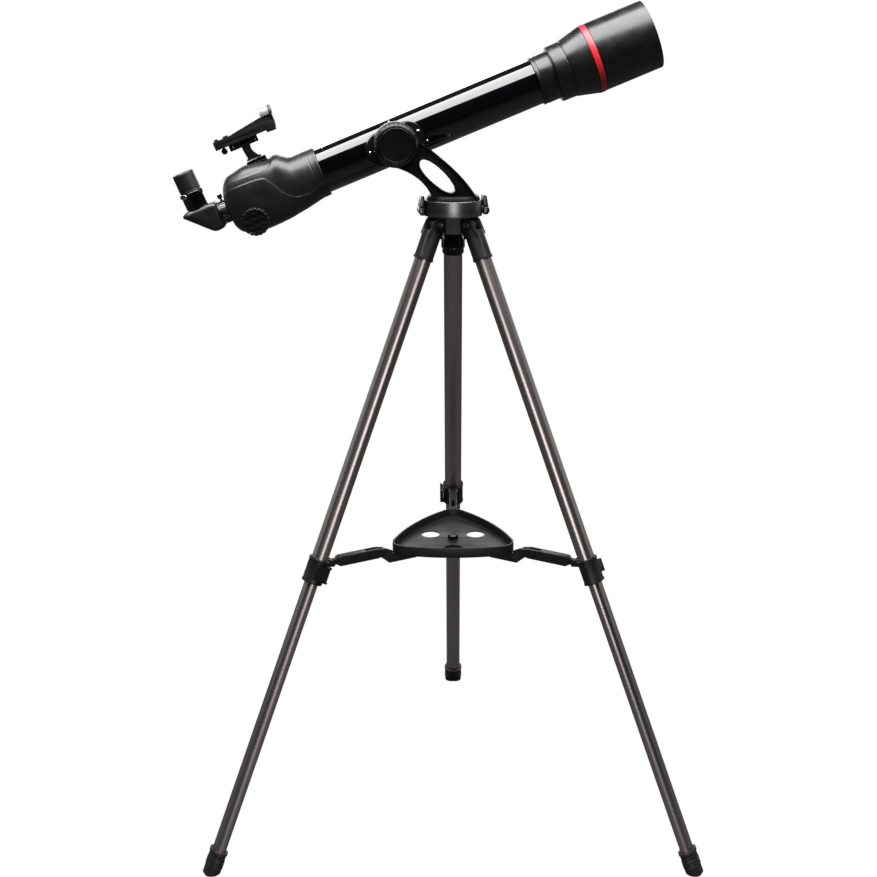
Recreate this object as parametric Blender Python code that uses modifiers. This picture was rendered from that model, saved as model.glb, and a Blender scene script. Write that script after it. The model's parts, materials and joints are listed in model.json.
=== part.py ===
"""A small refracting telescope on a folding tripod, modelled as its separate pieces.

The tripod has three two-stage oval legs, a spreader with three braces and an accessory tray.
A single curved arm turns on the tripod head and carries the tube on one side.
Lengths below are in millimetres; MM turns them into metres, +Z is up and the tube points to +X.
"""
import math

import bmesh
import bpy
from mathutils import Vector

MM = 0.001
GAP = 0.3                    # clearance between two pieces that touch

# Tripod
HINGE_Z = 1117.0             # height of the leg hinges
HINGE_R = 35.0               # leg hinges from the tripod's axis
FOOT_R = 496.0               # leg axis meets the ground here
LEG_ANGLE = math.degrees(math.atan2(FOOT_R - HINGE_R, HINGE_Z))
LEG_LENGTH = math.hypot(FOOT_R - HINGE_R, HINGE_Z)
LEGS = {"rear": 90.0, "left": 210.0, "right": 330.0}
UPPER_OVAL = (25.4, 33.0)    # upper tube, radial by tangential
LOWER_OVAL = (20.0, 29.4)    # lower tube
TUBE_WALL = 1.2
COLLAR_TOP = 611.0           # distances down the leg from its hinge
COLLAR_BOTTOM = 655.0
UPPER_END = 628.0
LOWER_START = 540.0
FOOT_TOP = 1166.0
BRACE_OUT_R = 247.0          # pivot of a brace on the collar
BRACE_IN_R = 146.0           # pivot of a brace on the spreader
BRACE_Z = 541.0
TRAY_BOTTOM = 533.0
TRAY_TOP = 551.0
TRAY_FLOOR = 537.0
TRAY_HOLE_AT = 48.0
TRAY_HOLE_R = 17.0

# Head and arm
YAW = 5.0                    # the arm's turn on the tripod
RING_R = 50.0
RING_BOTTOM = 1131.3
RING_TOP = 1156.7
ARM_Y = -20.0                # middle plane of the arm, on the near side of the axis
ARM_THICK = 22.0
HUB = (-97.5, 1250.0)        # altitude axis, in the arm's own plane
HUB_R = 37.5

# Optical tube, along its own axis from the altitude axis, front positive
TILT = 21.8                  # the tube's elevation
TUBE_Y = 50.0                # tube axis behind the tripod's axis
TUBE_R = 38.0
DRAW_R = 18.0
DIAGONAL_S = -354.0          # eyepiece axis
SHAFT_S = -268.0             # focus shaft
SHAFT_N = -30.0
KNOB_R = 23.8
PINION_R = 6.0               # pitch radius of the pinion
PINION_TEETH = 8
TOOTH = math.tau * PINION_R / PINION_TEETH     # pitch of the rack

# Looks: colour, roughness, metallic
LOOKS = {
    "gloss": ((0.006, 0.006, 0.007), 0.08, 0.0),
    "plastic": ((0.022, 0.022, 0.024), 0.45, 0.0),
    "matte": ((0.012, 0.012, 0.013), 0.6, 0.0),
    "leg_metal": ((0.045, 0.038, 0.036), 0.32, 0.9),
    "brushed": ((0.06, 0.06, 0.06), 0.35, 0.8),
    "chrome": ((0.75, 0.75, 0.75), 0.15, 1.0),
    "rubber": ((0.01, 0.01, 0.01), 0.8, 0.0),
    "red": ((0.75, 0.02, 0.04), 0.3, 0.0),
    "glass": ((0.55, 0.65, 0.7), 0.03, 0.0),
    "mirror": ((0.85, 0.85, 0.85), 0.02, 1.0),
    "smoke": ((0.35, 0.36, 0.37), 0.1, 0.0),
}


# ---------------------------------------------------------------- scene and helpers

for old in list(bpy.data.objects):
    bpy.data.objects.remove(old, do_unlink=True)


def new_collection(name):
    group = bpy.data.collections.new(name)
    bpy.context.scene.collection.children.link(group)
    return group


PARTS = new_collection("telescope_on_tripod")
CUTTERS = new_collection("cutters")
FRAMES = new_collection("joint_frames")


def frame(name, parent=None, at=(0, 0, 0), turn=(0, 0, 0)):
    """An empty that stands on a joint's axis and carries what moves with it."""
    empty = bpy.data.objects.new(name, None)
    empty.parent = parent
    empty.location = Vector(at) * MM
    empty.rotation_euler = [math.radians(a) for a in turn]
    FRAMES.objects.link(empty)
    return empty


def finish(name, look):
    colour, roughness, metallic = LOOKS[look]
    material = bpy.data.materials.new(name)
    material.use_nodes = True
    shader = material.node_tree.nodes["Principled BSDF"]
    shader.inputs["Base Color"].default_value = (*colour, 1.0)
    shader.inputs["Roughness"].default_value = roughness
    shader.inputs["Metallic"].default_value = metallic
    return material


def place(name, data, parent, at, turn, look):
    """Put a mesh in a frame: a part when it has a look, otherwise a hidden cutter."""
    obj = bpy.data.objects.new(name, data)
    obj.parent = parent
    obj.location = Vector(at) * MM
    obj.rotation_euler = [math.radians(a) for a in turn]
    if look:
        PARTS.objects.link(obj)
        data.materials.append(finish(name, look))
    else:
        CUTTERS.objects.link(obj)
        obj.hide_render = True
        obj.display_type = "WIRE"
    return obj


def smooth(data):
    data.shade_smooth()
    data.set_sharp_from_angle(angle=math.radians(35))


def block(name, size, parent, at=(0, 0, 0), turn=(0, 0, 0), look=None):
    bm = bmesh.new()
    bmesh.ops.create_cube(bm, size=1.0)
    bmesh.ops.scale(bm, vec=Vector(size) * MM, verts=bm.verts)
    data = bpy.data.meshes.new(name)
    bm.to_mesh(data)
    bm.free()
    return place(name, data, parent, at, turn, look)


def rod(name, radius, low, high, parent, at=(0, 0, 0), turn=(0, 0, 0), look=None, sides=24, top=None):
    """A cylinder, or a cone with another top radius, along the local Z axis from low to high."""
    bm = bmesh.new()
    top = radius if top is None else top
    bmesh.ops.create_cone(bm, cap_ends=True, segments=sides, radius1=radius * MM,
                          radius2=top * MM, depth=(high - low) * MM)
    bmesh.ops.translate(bm, vec=(0, 0, (high + low) / 2 * MM), verts=bm.verts)
    data = bpy.data.meshes.new(name)
    bm.to_mesh(data)
    bm.free()
    smooth(data)
    return place(name, data, parent, at, turn, look)


def turned(name, profile, parent, at=(0, 0, 0), turn=(0, 0, 0), look=None, steps=32):
    """A body of revolution about local Z. The profile (radius, height) runs down the outside."""
    data = bpy.data.meshes.new(name)
    points = [(r * MM, 0, z * MM) for r, z in profile]
    edges = [(i, i + 1) for i in range(len(points) - 1)]
    if profile[0][0] > 0:
        edges.append((len(points) - 1, 0))
    data.from_pydata(points, edges, [])
    obj = place(name, data, parent, at, turn, look)
    screw = obj.modifiers.new("turn", "SCREW")
    screw.axis = "Z"
    screw.angle = math.tau
    screw.steps = steps
    screw.render_steps = steps
    screw.use_merge_vertices = True
    screw.merge_threshold = 0.00001
    screw.use_normal_calculate = False
    return obj


def plate(name, outline, low, high, parent, at=(0, 0, 0), turn=(0, 0, 0), look=None, holes=()):
    """A flat outline in local XY, with its holes, extruded along local Z from low to high."""
    curve = bpy.data.curves.new(name, "CURVE")
    curve.dimensions = "2D"
    curve.fill_mode = "BOTH"
    curve.extrude = (high - low) / 2 * MM
    for loop in (outline, *holes):
        spline = curve.splines.new("POLY")
        spline.points.add(len(loop) - 1)
        for point, (x, y) in zip(spline.points, loop):
            point.co = (x * MM, y * MM, 0, 1)
        spline.use_cyclic_u = True
    drawn = bpy.data.objects.new(name + "_outline", curve)
    CUTTERS.objects.link(drawn)
    bpy.context.view_layer.update()
    data = bpy.data.meshes.new_from_object(drawn.evaluated_get(bpy.context.evaluated_depsgraph_get()))
    data.name = name
    bpy.data.objects.remove(drawn, do_unlink=True)
    bm = bmesh.new()
    bm.from_mesh(data)
    bmesh.ops.remove_doubles(bm, verts=bm.verts, dist=0.00001)
    bmesh.ops.translate(bm, vec=(0, 0, (high + low) / 2 * MM), verts=bm.verts)
    bmesh.ops.recalc_face_normals(bm, faces=bm.faces)
    bm.to_mesh(data)
    bm.free()
    data.materials.clear()
    smooth(data)
    return place(name, data, parent, at, turn, look)


def combine(target, operation, *others):
    for other in others:
        step = target.modifiers.new(operation.lower(), "BOOLEAN")
        step.operation = operation
        step.solver = "EXACT"
        step.object = other
    return target


def join(target, *others):
    return combine(target, "UNION", *others)


def cut(target, *others):
    return combine(target, "DIFFERENCE", *others)


def arc(cx, cy, radius, start, end, count):
    """Points on a circle from one angle to another, in degrees."""
    angles = [math.radians(start + (end - start) * i / count) for i in range(count + 1)]
    return [(cx + radius * math.cos(a), cy + radius * math.sin(a)) for a in angles]


def oval(size, grow=0.0, count=5):
    """A flat-sided oval, size[0] in X and the longer size[1] in Y."""
    radius = size[0] / 2 + grow
    flat = (size[1] - size[0]) / 2
    return arc(0, flat, radius, 0, 180, count) + arc(0, -flat, radius, 180, 360, count)


def circle(cx, cy, radius, count=24):
    return arc(cx, cy, radius, 0, 360, count)[:-1]


def bezier(p0, p1, p2, p3, count):
    """Points along a cubic curve, without its last one."""
    points = []
    for i in range(count):
        t = i / count
        w = ((1 - t) ** 3, 3 * t * (1 - t) ** 2, 3 * t * t * (1 - t), t ** 3)
        points.append(tuple(sum(k * p[a] for k, p in zip(w, (p0, p1, p2, p3))) for a in (0, 1)))
    return points


UPRIGHT = (90, 0, 0)         # local XY becomes XZ, so an outline stands up and is thick along Y
ALONG_X = (0, 90, 0)         # local Z becomes X
ALONG_Y = (-90, 0, 0)        # local Z becomes Y
ORIGIN = frame("model_origin")


# ---------------------------------------------------------------- tripod head

def build_head():
    casting = rod("head_casting", RING_R, 1130.0, 1131.0, ORIGIN, look="matte", sides=36)
    core = rod("head_core", 20.0, 1100.0, 1130.5, ORIGIN, sides=24)
    added = [core]
    holes = [rod("head_bore", 6.6, 1090, 1140, ORIGIN, sides=20)]
    for side, azimuth in LEGS.items():
        spoke = frame(side + "_head_spoke", ORIGIN, turn=(0, 0, azimuth))
        eye = arc(HINGE_R, HINGE_Z, 9.0, -90, 90, 8)
        lug = [(0, HINGE_Z - 9)] + eye + [(HINGE_R - 4, 1130.5), (0, 1130.5)]
        added.append(plate(side + "_head_lug", lug, -8, 8, spoke, turn=UPRIGHT))
        added.append(block(side + "_head_pad", (29, 24, 30.2), spoke, at=(-14.5, 0, 1115.3)))
        holes.append(rod(side + "_bolt_bore", 3.3, -12, 12, spoke, at=(HINGE_R, 0, HINGE_Z),
                         turn=ALONG_Y, sides=16))
    for azimuth in (8.0, 188.0):
        spoke = frame("ear_spoke", ORIGIN, turn=(0, 0, azimuth))
        shape = [(44, 1130.2), (57, 1130.2), (61, 1136), (57, 1164), (50.8, 1164), (50.4, 1130.8),
                 (44, 1130.8)]
        added.append(plate("head_ear", shape, -17, 17, spoke, turn=UPRIGHT))
    cut(join(casting, *added), *holes)
    turned("head_ring", [(RING_R, RING_TOP), (RING_R, RING_BOTTOM), (43.5, RING_BOTTOM),
                         (43.5, RING_TOP)], ORIGIN, look="brushed", steps=32)


def build_leg_bolts():
    for side, azimuth in LEGS.items():
        spoke = frame(side + "_bolt_spoke", ORIGIN, turn=(0, 0, azimuth))
        turned(side + "_leg_bolt",
               [(0, 20.2), (5.4, 20.2), (5.4, 17.0), (3.0, 17.0), (3.0, -17.0), (5.2, -17.0),
                (5.2, -20.4), (0, -20.4)],
               spoke, at=(HINGE_R, 0, HINGE_Z), turn=ALONG_Y, look="chrome", steps=12)


# ---------------------------------------------------------------- legs and spreader

def build_leg(side, azimuth):
    direction = math.radians(azimuth)
    foot_of_hinge = (HINGE_R * math.cos(direction), HINGE_R * math.sin(direction), HINGE_Z)
    leg = frame(side + "_leg_hinge", ORIGIN, at=foot_of_hinge, turn=(0, -LEG_ANGLE, azimuth))

    # crown: a sleeve on the tube with a fork round the head's lug
    crown = plate(side + "_crown", oval(UPPER_OVAL, 1.9), -64, -14, leg, look="matte")
    fork = arc(0, 0, 11.0, 0, 180, 8) + [(-12.5, -22), (12.5, -22)]
    cut(join(crown, plate(side + "_crown_fork", fork, -16.6, 16.6, leg, turn=UPRIGHT)),
        plate(side + "_crown_socket", oval(UPPER_OVAL, GAP), -70, -31, leg),
        block(side + "_crown_slot", (40, 17.2, 42), leg, at=(0, 0, 8)),
        rod(side + "_crown_bore", 3.3, -20, 20, leg, turn=ALONG_Y, sides=16))

    plate(side + "_upper_leg", oval(UPPER_OVAL), -UPPER_END, -31 - GAP, leg, look="leg_metal",
          holes=[oval(UPPER_OVAL, -TUBE_WALL)])

    build_collar(side, leg)
    slide = frame(side + "_slide", leg)
    plate(side + "_lower_leg", oval(LOWER_OVAL), -LEG_LENGTH + 14, -LOWER_START, slide,
          look="leg_metal", holes=[oval(LOWER_OVAL, -TUBE_WALL)])
    foot = plate(side + "_foot", oval(LOWER_OVAL, 3.2), -LEG_LENGTH - 30, -FOOT_TOP, slide, look="rubber")
    cut(foot,
        plate(side + "_foot_socket", oval(LOWER_OVAL, GAP), -LEG_LENGTH + 14 - GAP, -FOOT_TOP + 10, slide),
        block("ground_at_" + side + "_foot", (200, 200, 100), ORIGIN,
              at=(FOOT_R * math.cos(direction), FOOT_R * math.sin(direction), -50)))
    build_brace(side, leg)


def brace_pivot():
    """The collar's brace pivot in the leg's frame: out from the leg's axis and along it."""
    angle = math.radians(LEG_ANGLE)
    out = BRACE_OUT_R - HINGE_R
    down = HINGE_Z - BRACE_Z
    return (out * math.cos(angle) - down * math.sin(angle),
            -out * math.sin(angle) - down * math.cos(angle))


def build_collar(side, leg):
    pivot_x, pivot_z = brace_pivot()
    collar = plate(side + "_collar", oval(UPPER_OVAL, 3.2), -COLLAR_BOTTOM, -COLLAR_TOP, leg, look="plastic")
    lug = arc(pivot_x, pivot_z, 5.5, 90, 270, 6) + [(-12.0, pivot_z - 9), (-12.0, pivot_z + 4.5)]
    lugs = [plate(side + "_brace_lug_" + str(i), lug, low, low + 4.2, leg, turn=UPRIGHT)
            for i, low in enumerate((-8.8, 4.6))]
    pin = rod(side + "_brace_pin", 2.4, -6, 6, leg, at=(pivot_x, 0, pivot_z), turn=ALONG_Y, sides=12)
    ears = [block(side + "_lever_ear_" + str(i), (8, 9, 3), leg, at=(-11.5, 21.5, z))
            for i, z in enumerate((-619.5, -646.5))]
    lever_pin = rod(side + "_lever_pin", 1.5, -647, -619, leg, at=(-11.5, 23.2, 0), sides=10)
    join(collar, *lugs, pin, *ears, lever_pin)
    cut(collar,
        plate(side + "_collar_bore", oval(UPPER_OVAL, GAP), -UPPER_END - GAP, -COLLAR_TOP + 10, leg),
        plate(side + "_collar_throat", oval(LOWER_OVAL, GAP), -COLLAR_BOTTOM - 10, -UPPER_END + 2, leg))

    lever = frame(side + "_lever_axis", leg, at=(-11.5, 23.2, -633))
    shape = arc(0, 0, 3.2, 90, 270, 6) + [(20, -2.6), (25, 1.5), (24.4, 3.4), (19.5, 1.8)]
    plate(side + "_lock_lever", shape, -11.6, 11.6, lever, look="plastic", holes=[circle(0, 0, 1.9, 10)])


def build_brace(side, leg):
    pivot_x, pivot_z = brace_pivot()
    length = BRACE_OUT_R - BRACE_IN_R
    axis = frame(side + "_brace_axis", leg, at=(pivot_x, 0, pivot_z), turn=(0, LEG_ANGLE, 0))
    inner = arc(-length, 0, 6.5, 90, 270, 8)
    outer = arc(0, 0, 5.5, -90, 90, 6)
    shape = inner + [(-length + 12, -9), (-16, -9), (-9, -5.5)] + outer + [(-9, 5.5), (-16, 9),
                                                                            (-length + 12, 9)]
    brace = plate(side + "_brace", shape, -7.5, 7.5, axis, turn=UPRIGHT, look="matte",
                  holes=[circle(0, 0, 2.8, 12)])
    cut(brace,
        block(side + "_brace_slot", (68, 7, 40), axis, at=(-length, 0, 0)),
        block(side + "_brace_neck_0", (22, 6, 40), axis, at=(0, 7.2, 0)),
        block(side + "_brace_neck_1", (22, 6, 40), axis, at=(0, -7.2, 0)))


def triangle(corner_at, corner_r, bulge, count=5):
    """A triangle with round corners towards the legs, and sides bowed out by arcs that touch them."""
    middle = corner_at / 2 + bulge
    back = (corner_at ** 2 - middle ** 2) / (2 * bulge)
    swing = math.degrees(math.atan2(corner_at * math.sin(math.radians(60)), corner_at / 2 + back))
    loop = []
    for azimuth in LEGS.values():
        corner, side = math.radians(azimuth), math.radians(azimuth + 60)
        loop += arc(corner_at * math.cos(corner), corner_at * math.sin(corner), corner_r,
                    azimuth - 60 + swing, azimuth + 60 - swing, count)
        loop += arc(-back * math.cos(side), -back * math.sin(side), middle + corner_r + back,
                    azimuth + 60 - swing, azimuth + 60 + swing, 4)[1:-1]
    return loop


def build_spreader():
    lift = frame("spreader_slide", ORIGIN)
    hub = rod("spreader_hub", 30.0, 521.0, TRAY_BOTTOM - GAP, lift, look="matte", sides=30)
    arms = []
    for side, azimuth in LEGS.items():
        spoke = frame(side + "_spreader_spoke", lift, turn=(0, 0, azimuth))
        shape = [(20, 532.7), (20, 521), (40, 521), (81, 517), (133, 517), (152, 533), (152, 546),
                 (140, 546), (126, 539), (124, 532.7)]
        arms.append(plate(side + "_spreader_arm", shape[::-1], -2.5, 2.5, spoke, turn=UPRIGHT))
    cut(join(hub, *arms), rod("spreader_bore", 3.4, 525, 540, lift, sides=16))

    tray = plate("accessory_tray", triangle(96, 26, 11), TRAY_BOTTOM, TRAY_TOP, lift, look="plastic")
    cups = [rod("tray_cup_" + str(a), TRAY_HOLE_R, 520, 560, lift, sides=18,
                at=(TRAY_HOLE_AT * math.cos(math.radians(a)), TRAY_HOLE_AT * math.sin(math.radians(a)), 0))
            for a in (30, 150, 270)]
    cut(tray,
        plate("tray_recess", triangle(96, 23.2, 11), TRAY_FLOOR, TRAY_TOP + 5, lift),
        plate("tray_underside", triangle(96, 23.2, 11), TRAY_BOTTOM - 5, TRAY_FLOOR - 2.6, lift,
              holes=[circle(0, 0, 32, 16)]),
        rod("tray_bore", 3.4, 520, 560, lift, sides=16), *cups)
    knob = frame("tray_knob_axis", lift)
    turned("tray_knob",
           [(0, 546), (8, 546), (9.5, 544.5), (9.5, TRAY_FLOOR + GAP), (3, TRAY_FLOOR + GAP), (3, 527), (0, 527)],
           knob, look="plastic", steps=20)


# ---------------------------------------------------------------- arm and azimuth head

def build_arm(turntable):
    outer_edge = bezier((-70, 1265), (-37, 1238), (8, 1212), (39.5, 1160), 8)
    inner_edge = bezier((-38, 1163), (-48, 1188), (-72, 1208), (-110, 1216), 7)
    shape = [(-97, 1272)] + outer_edge + [(41, 1159), (41, 1157.2), (-39, 1157.2)] + inner_edge + [(-112, 1240)]
    window = (bezier((-58, 1222), (-54, 1236), (-18, 1212), (0.5, 1180), 6)
              + bezier((0.5, 1180), (4.5, 1166), (-12, 1168), (-28, 1181), 5)
              + bezier((-28, 1181), (-44, 1193), (-62, 1212), (-58, 1222), 5))
    arm = plate("fork_arm", shape[::-1], -ARM_THICK / 2, ARM_THICK / 2, turntable, at=(0, ARM_Y, 0),
                turn=UPRIGHT, look="plastic", holes=[window])
    near = ARM_Y - ARM_THICK / 2
    join(arm,
         rod("arm_boss", HUB_R, near, -6.7, turntable, at=(HUB[0], 0, HUB[1]), turn=ALONG_Y, sides=28),
         rod("arm_flange", 46.0, RING_TOP + GAP, 1164, turntable, sides=36, top=43.0),
         rod("arm_turntable", 43.2, 1133, 1158, turntable, sides=36),
         rod("arm_spindle", 6.0, 1078, 1140, turntable, sides=20))
    cut(arm, rod("arm_bore", 8.3, -60, 10, turntable, at=(HUB[0], 0, HUB[1]), turn=ALONG_Y))

    clamp = frame("azimuth_knob_axis", turntable)
    turned("azimuth_knob",
           [(0, 1075.5), (6.4, 1075.5), (6.4, 1099.6), (17.5, 1099.6), (17.5, 1093), (20.5, 1091),
            (20.5, 1075), (18.5, 1073), (0, 1073)],
           clamp, look="plastic", steps=28)


def build_altitude(turntable, tube):
    cap = frame("altitude_knob_axis", turntable, at=(HUB[0], 0, HUB[1]))
    near = ARM_Y - ARM_THICK / 2 - GAP
    knob = turned("altitude_knob",
                  [(0, -near + 13), (27.5, -near + 13), (29, -near + 12), (30.5, -near + 13), (33.5, -near + 11),
                   (36, -near + 7), (36.5, -near), (0, -near)],
                  cap, turn=UPRIGHT, look="plastic", steps=28)
    cut(knob, rod("altitude_knob_bore", 8.3, -near - 10, -near + 6, cap, turn=UPRIGHT, sides=24))

    rod("altitude_axle", 8.0, near - 5, 3.5, tube, turn=ALONG_Y, look="chrome")
    saddle_shape = arc(24, 0, 27, -90, 90, 10) + arc(-24, 0, 27, 90, 270, 10)
    saddle = plate("saddle_plate", saddle_shape, -30, 6.4, tube, turn=UPRIGHT, look="plastic")
    cut(saddle,
        rod("saddle_cradle", TUBE_R + GAP, -80, 80, tube, at=(0, TUBE_Y, 0), turn=ALONG_X, sides=32),
        rod("saddle_bore", 8.3, -20, 4, tube, turn=ALONG_Y))


# ---------------------------------------------------------------- optical tube

def build_tube(tube):
    on_axis = {"parent": tube, "at": (0, TUBE_Y, 0), "turn": ALONG_X}
    turned("main_tube", [(TUBE_R, 289), (TUBE_R, -150), (TUBE_R - 1.4, -150), (TUBE_R - 1.4, 289)],
           look="gloss", steps=32, **on_axis)
    turned("objective_cell",
           [(41, 312), (41, 263), (TUBE_R + GAP, 263), (TUBE_R + GAP, 290), (33, 290), (33, 292.5),
            (35.6, 292.5), (35.6, 312)],
           look="plastic", steps=28, **on_axis)
    crown_edge = [(35.3, 307), (35.3, 302)]
    turned("crown_lens", [(0, 309)] + [(20, 308.4)] + crown_edge + [(20, 301), (0, 300.6)],
           look="glass", steps=20, **on_axis)
    turned("flint_lens", [(0, 300.2)] + [(20, 300.5)] + [(35.3, 301.6), (35.3, 293), (0, 294.5)],
           look="glass", steps=20, **on_axis)
    turned("lens_ring", [(35.3, 311.5), (35.3, 307.4), (32.5, 307.6), (32.5, 311.5)],
           look="matte", steps=20, **on_axis)


def build_dew_shield(hood):
    outside = [(58.6, 473), (58.6, 370), (57.5, 370), (57.5, 359.5), (58.4, 359.5), (48.4, 319.5),
               (47.8, 318.5), (47.8, 296), (46.5, 294.3)]
    inside = [(41.3, 294.3), (41.3, 313), (45, 319), (55.4, 359), (56.4, 370), (56.4, 473)]
    place_at = {"parent": hood, "at": (0, 0, 0), "turn": ALONG_X}
    turned("dew_shield", outside + inside, look="plastic", steps=28, **place_at)
    turned("trim_ring", [(59.2, 369.7), (59.2, 359.8), (57.8, 359.8), (57.8, 369.7)],
           look="red", steps=28, **place_at)


# housing sections: distance along the tube, top, bottom, half width, squareness
HOUSING = (
    (-133, 40.3, -40.3, 40.3, 2.0), (-149, 40.5, -41, 40.5, 2.0), (-163, 40.4, -43.5, 41, 2.1),
    (-177, 41.2, -46, 41.4, 2.3), (-188, 48, -47.5, 41.8, 2.5), (-199, 54.5, -49, 42, 2.6),
    (-215, 52.2, -51, 42, 2.8), (-250, 57.4, -52.5, 42, 2.8), (-273, 54, -50.5, 40.5, 2.8),
    (-289, 49.5, -46, 36.5, 2.6), (-299, 38, -40, 32, 2.5), (-304.5, 24, -30, 26, 2.4),
)
HOUSING_WALL = 2.5


def section(s, top, bottom, half_width, power, inset=0.0, count=24):
    """One ring of the housing, a circle that grows into a rounded box."""
    middle = (top + bottom) / 2
    height = (top - bottom) / 2 - inset
    ring = []
    for i in range(count):
        angle = math.tau * i / count
        c, n = math.cos(angle), math.sin(angle)
        y = (half_width - inset) * math.copysign(abs(c) ** (2 / power), c)
        z = middle + height * math.copysign(abs(n) ** (2 / power), n)
        ring.append(Vector((s, y, z)) * MM)
    return ring


def loft(name, rings, parent, at, look=None):
    bm = bmesh.new()
    rows = [[bm.verts.new(p) for p in ring] for ring in rings]
    for first, second in zip(rows, rows[1:]):
        for i in range(len(first)):
            j = (i + 1) % len(first)
            bm.faces.new((first[i], first[j], second[j], second[i]))
    bm.faces.new(rows[0])
    bm.faces.new(rows[-1])
    bmesh.ops.recalc_face_normals(bm, faces=bm.faces)
    data = bpy.data.meshes.new(name)
    bm.to_mesh(data)
    bm.free()
    smooth(data)
    return place(name, data, parent, at, (0, 0, 0), look)


def build_housing(tube):
    at = (0, TUBE_Y, 0)
    mouth = [section(s, TUBE_R + 0.7, -TUBE_R - 0.7, TUBE_R + 0.7, 2.0) for s in (-120, -150.5)]
    cavity = [section(*row, inset=HOUSING_WALL) for row in HOUSING[2:-1]]
    rear = [section(-301.5, 24, -30, 26, 2.4, inset=0.5)]
    for side, split in (("near", 49.85), ("far", -49.85)):
        half = loft("housing_" + side, [section(*row) for row in HOUSING], tube, at, look="plastic")
        cut(half,
            loft("housing_cavity_" + side, mouth + cavity + rear, tube, at),
            rod("drawtube_hole_" + side, DRAW_R + 0.4, -320, -290, tube, at=at, turn=ALONG_X, sides=28),
            rod("shaft_hole_" + side, 3.5, -60, 60, tube, at=(SHAFT_S, TUBE_Y, SHAFT_N), turn=ALONG_Y,
                sides=16),
            block("rack_slot_" + side, (30, 8.6, 12), tube, at=(-305, TUBE_Y, -19)),
            block("housing_split_" + side, (260, 100, 200), tube, at=(-220, TUBE_Y + split, 0)))
    shoe = [(-246, 57.6), (-215, 53.0), (-211, 53.6), (-211, 63.2), (-246, 62.4)]
    plate("finder_shoe", shoe, -9, 9, tube, at=at, turn=UPRIGHT, look="matte")


# ---------------------------------------------------------------- focuser, diagonal and eyepiece

def build_focuser(tube):
    draw = frame("focus_slide", tube, at=(0, TUBE_Y, 0))
    drawtube = turned("drawtube", [(DRAW_R, -192), (DRAW_R, -306), (16.2, -306), (16.2, -192)], draw,
                      turn=ALONG_X, look="chrome", steps=28)
    bar = block("rack", (104, 7.4, 6), draw, at=(-247, 0, -20))
    notches = [block("rack_notch_" + str(i), (TOOTH * 0.5, 9, 4), draw, at=(-298 + TOOTH * i, 0, -23.4))
               for i in range(21)]
    join(drawtube, cut(bar, *notches))
    clamp = turned("clamp_ring", [(19.6, -306.3), (19.6, -319), (16.0, -319), (16.0, -306.3)], draw,
                   turn=ALONG_X, look="chrome", steps=28)
    cut(clamp, rod("clamp_screw_hole", 2.3, 10, 26, draw, at=(-312.6, 0, 0), sides=12))
    screw = frame("clamp_screw_axis", draw, at=(-312.6, 0, 0))
    turned("clamp_screw", [(0, 31), (3.6, 31), (4.2, 30), (4.2, 24), (2, 24), (2, 16.6), (0, 16.6)], screw,
           look="matte", steps=14)

    shaft = frame("focus_shaft_axis", tube, at=(SHAFT_S, 0, SHAFT_N))
    tip, root = PINION_R + 0.5, PINION_R - 1.4
    wheel = []
    for i in range(PINION_TEETH):
        middle = math.tau * i / PINION_TEETH
        for turn_by, r in ((-0.16, tip), (0.16, tip), (0.28, root), (0.5, root)):
            wheel.append((r * math.cos(middle + turn_by), r * math.sin(middle + turn_by)))
    axle = rod("focus_shaft", 3.0, -3, TUBE_Y * 2 + 3, shaft, turn=ALONG_Y, look="chrome", sides=16)
    join(axle, plate("pinion", wheel, TUBE_Y - 6, TUBE_Y + 6, shaft, turn=ALONG_Y))
    profile = [(0, 0), (21, 0), (KNOB_R, -2.5), (KNOB_R, -12), (20, -13), (19, -16.6), (0, -16.6)]
    for side, face, inward, turn in (("near", -9.0, 1, UPRIGHT), ("far", 109.0, -1, ALONG_Y)):
        knob = turned("focus_knob_" + side, profile, shaft, at=(0, face, 0), turn=turn, look="rubber",
                      steps=28)
        cut(knob, rod("knob_bore_" + side, 3.3, -8, 8, shaft, at=(0, face + inward * 10.6, 0), turn=ALONG_Y,
                      sides=16))
    return draw


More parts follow.
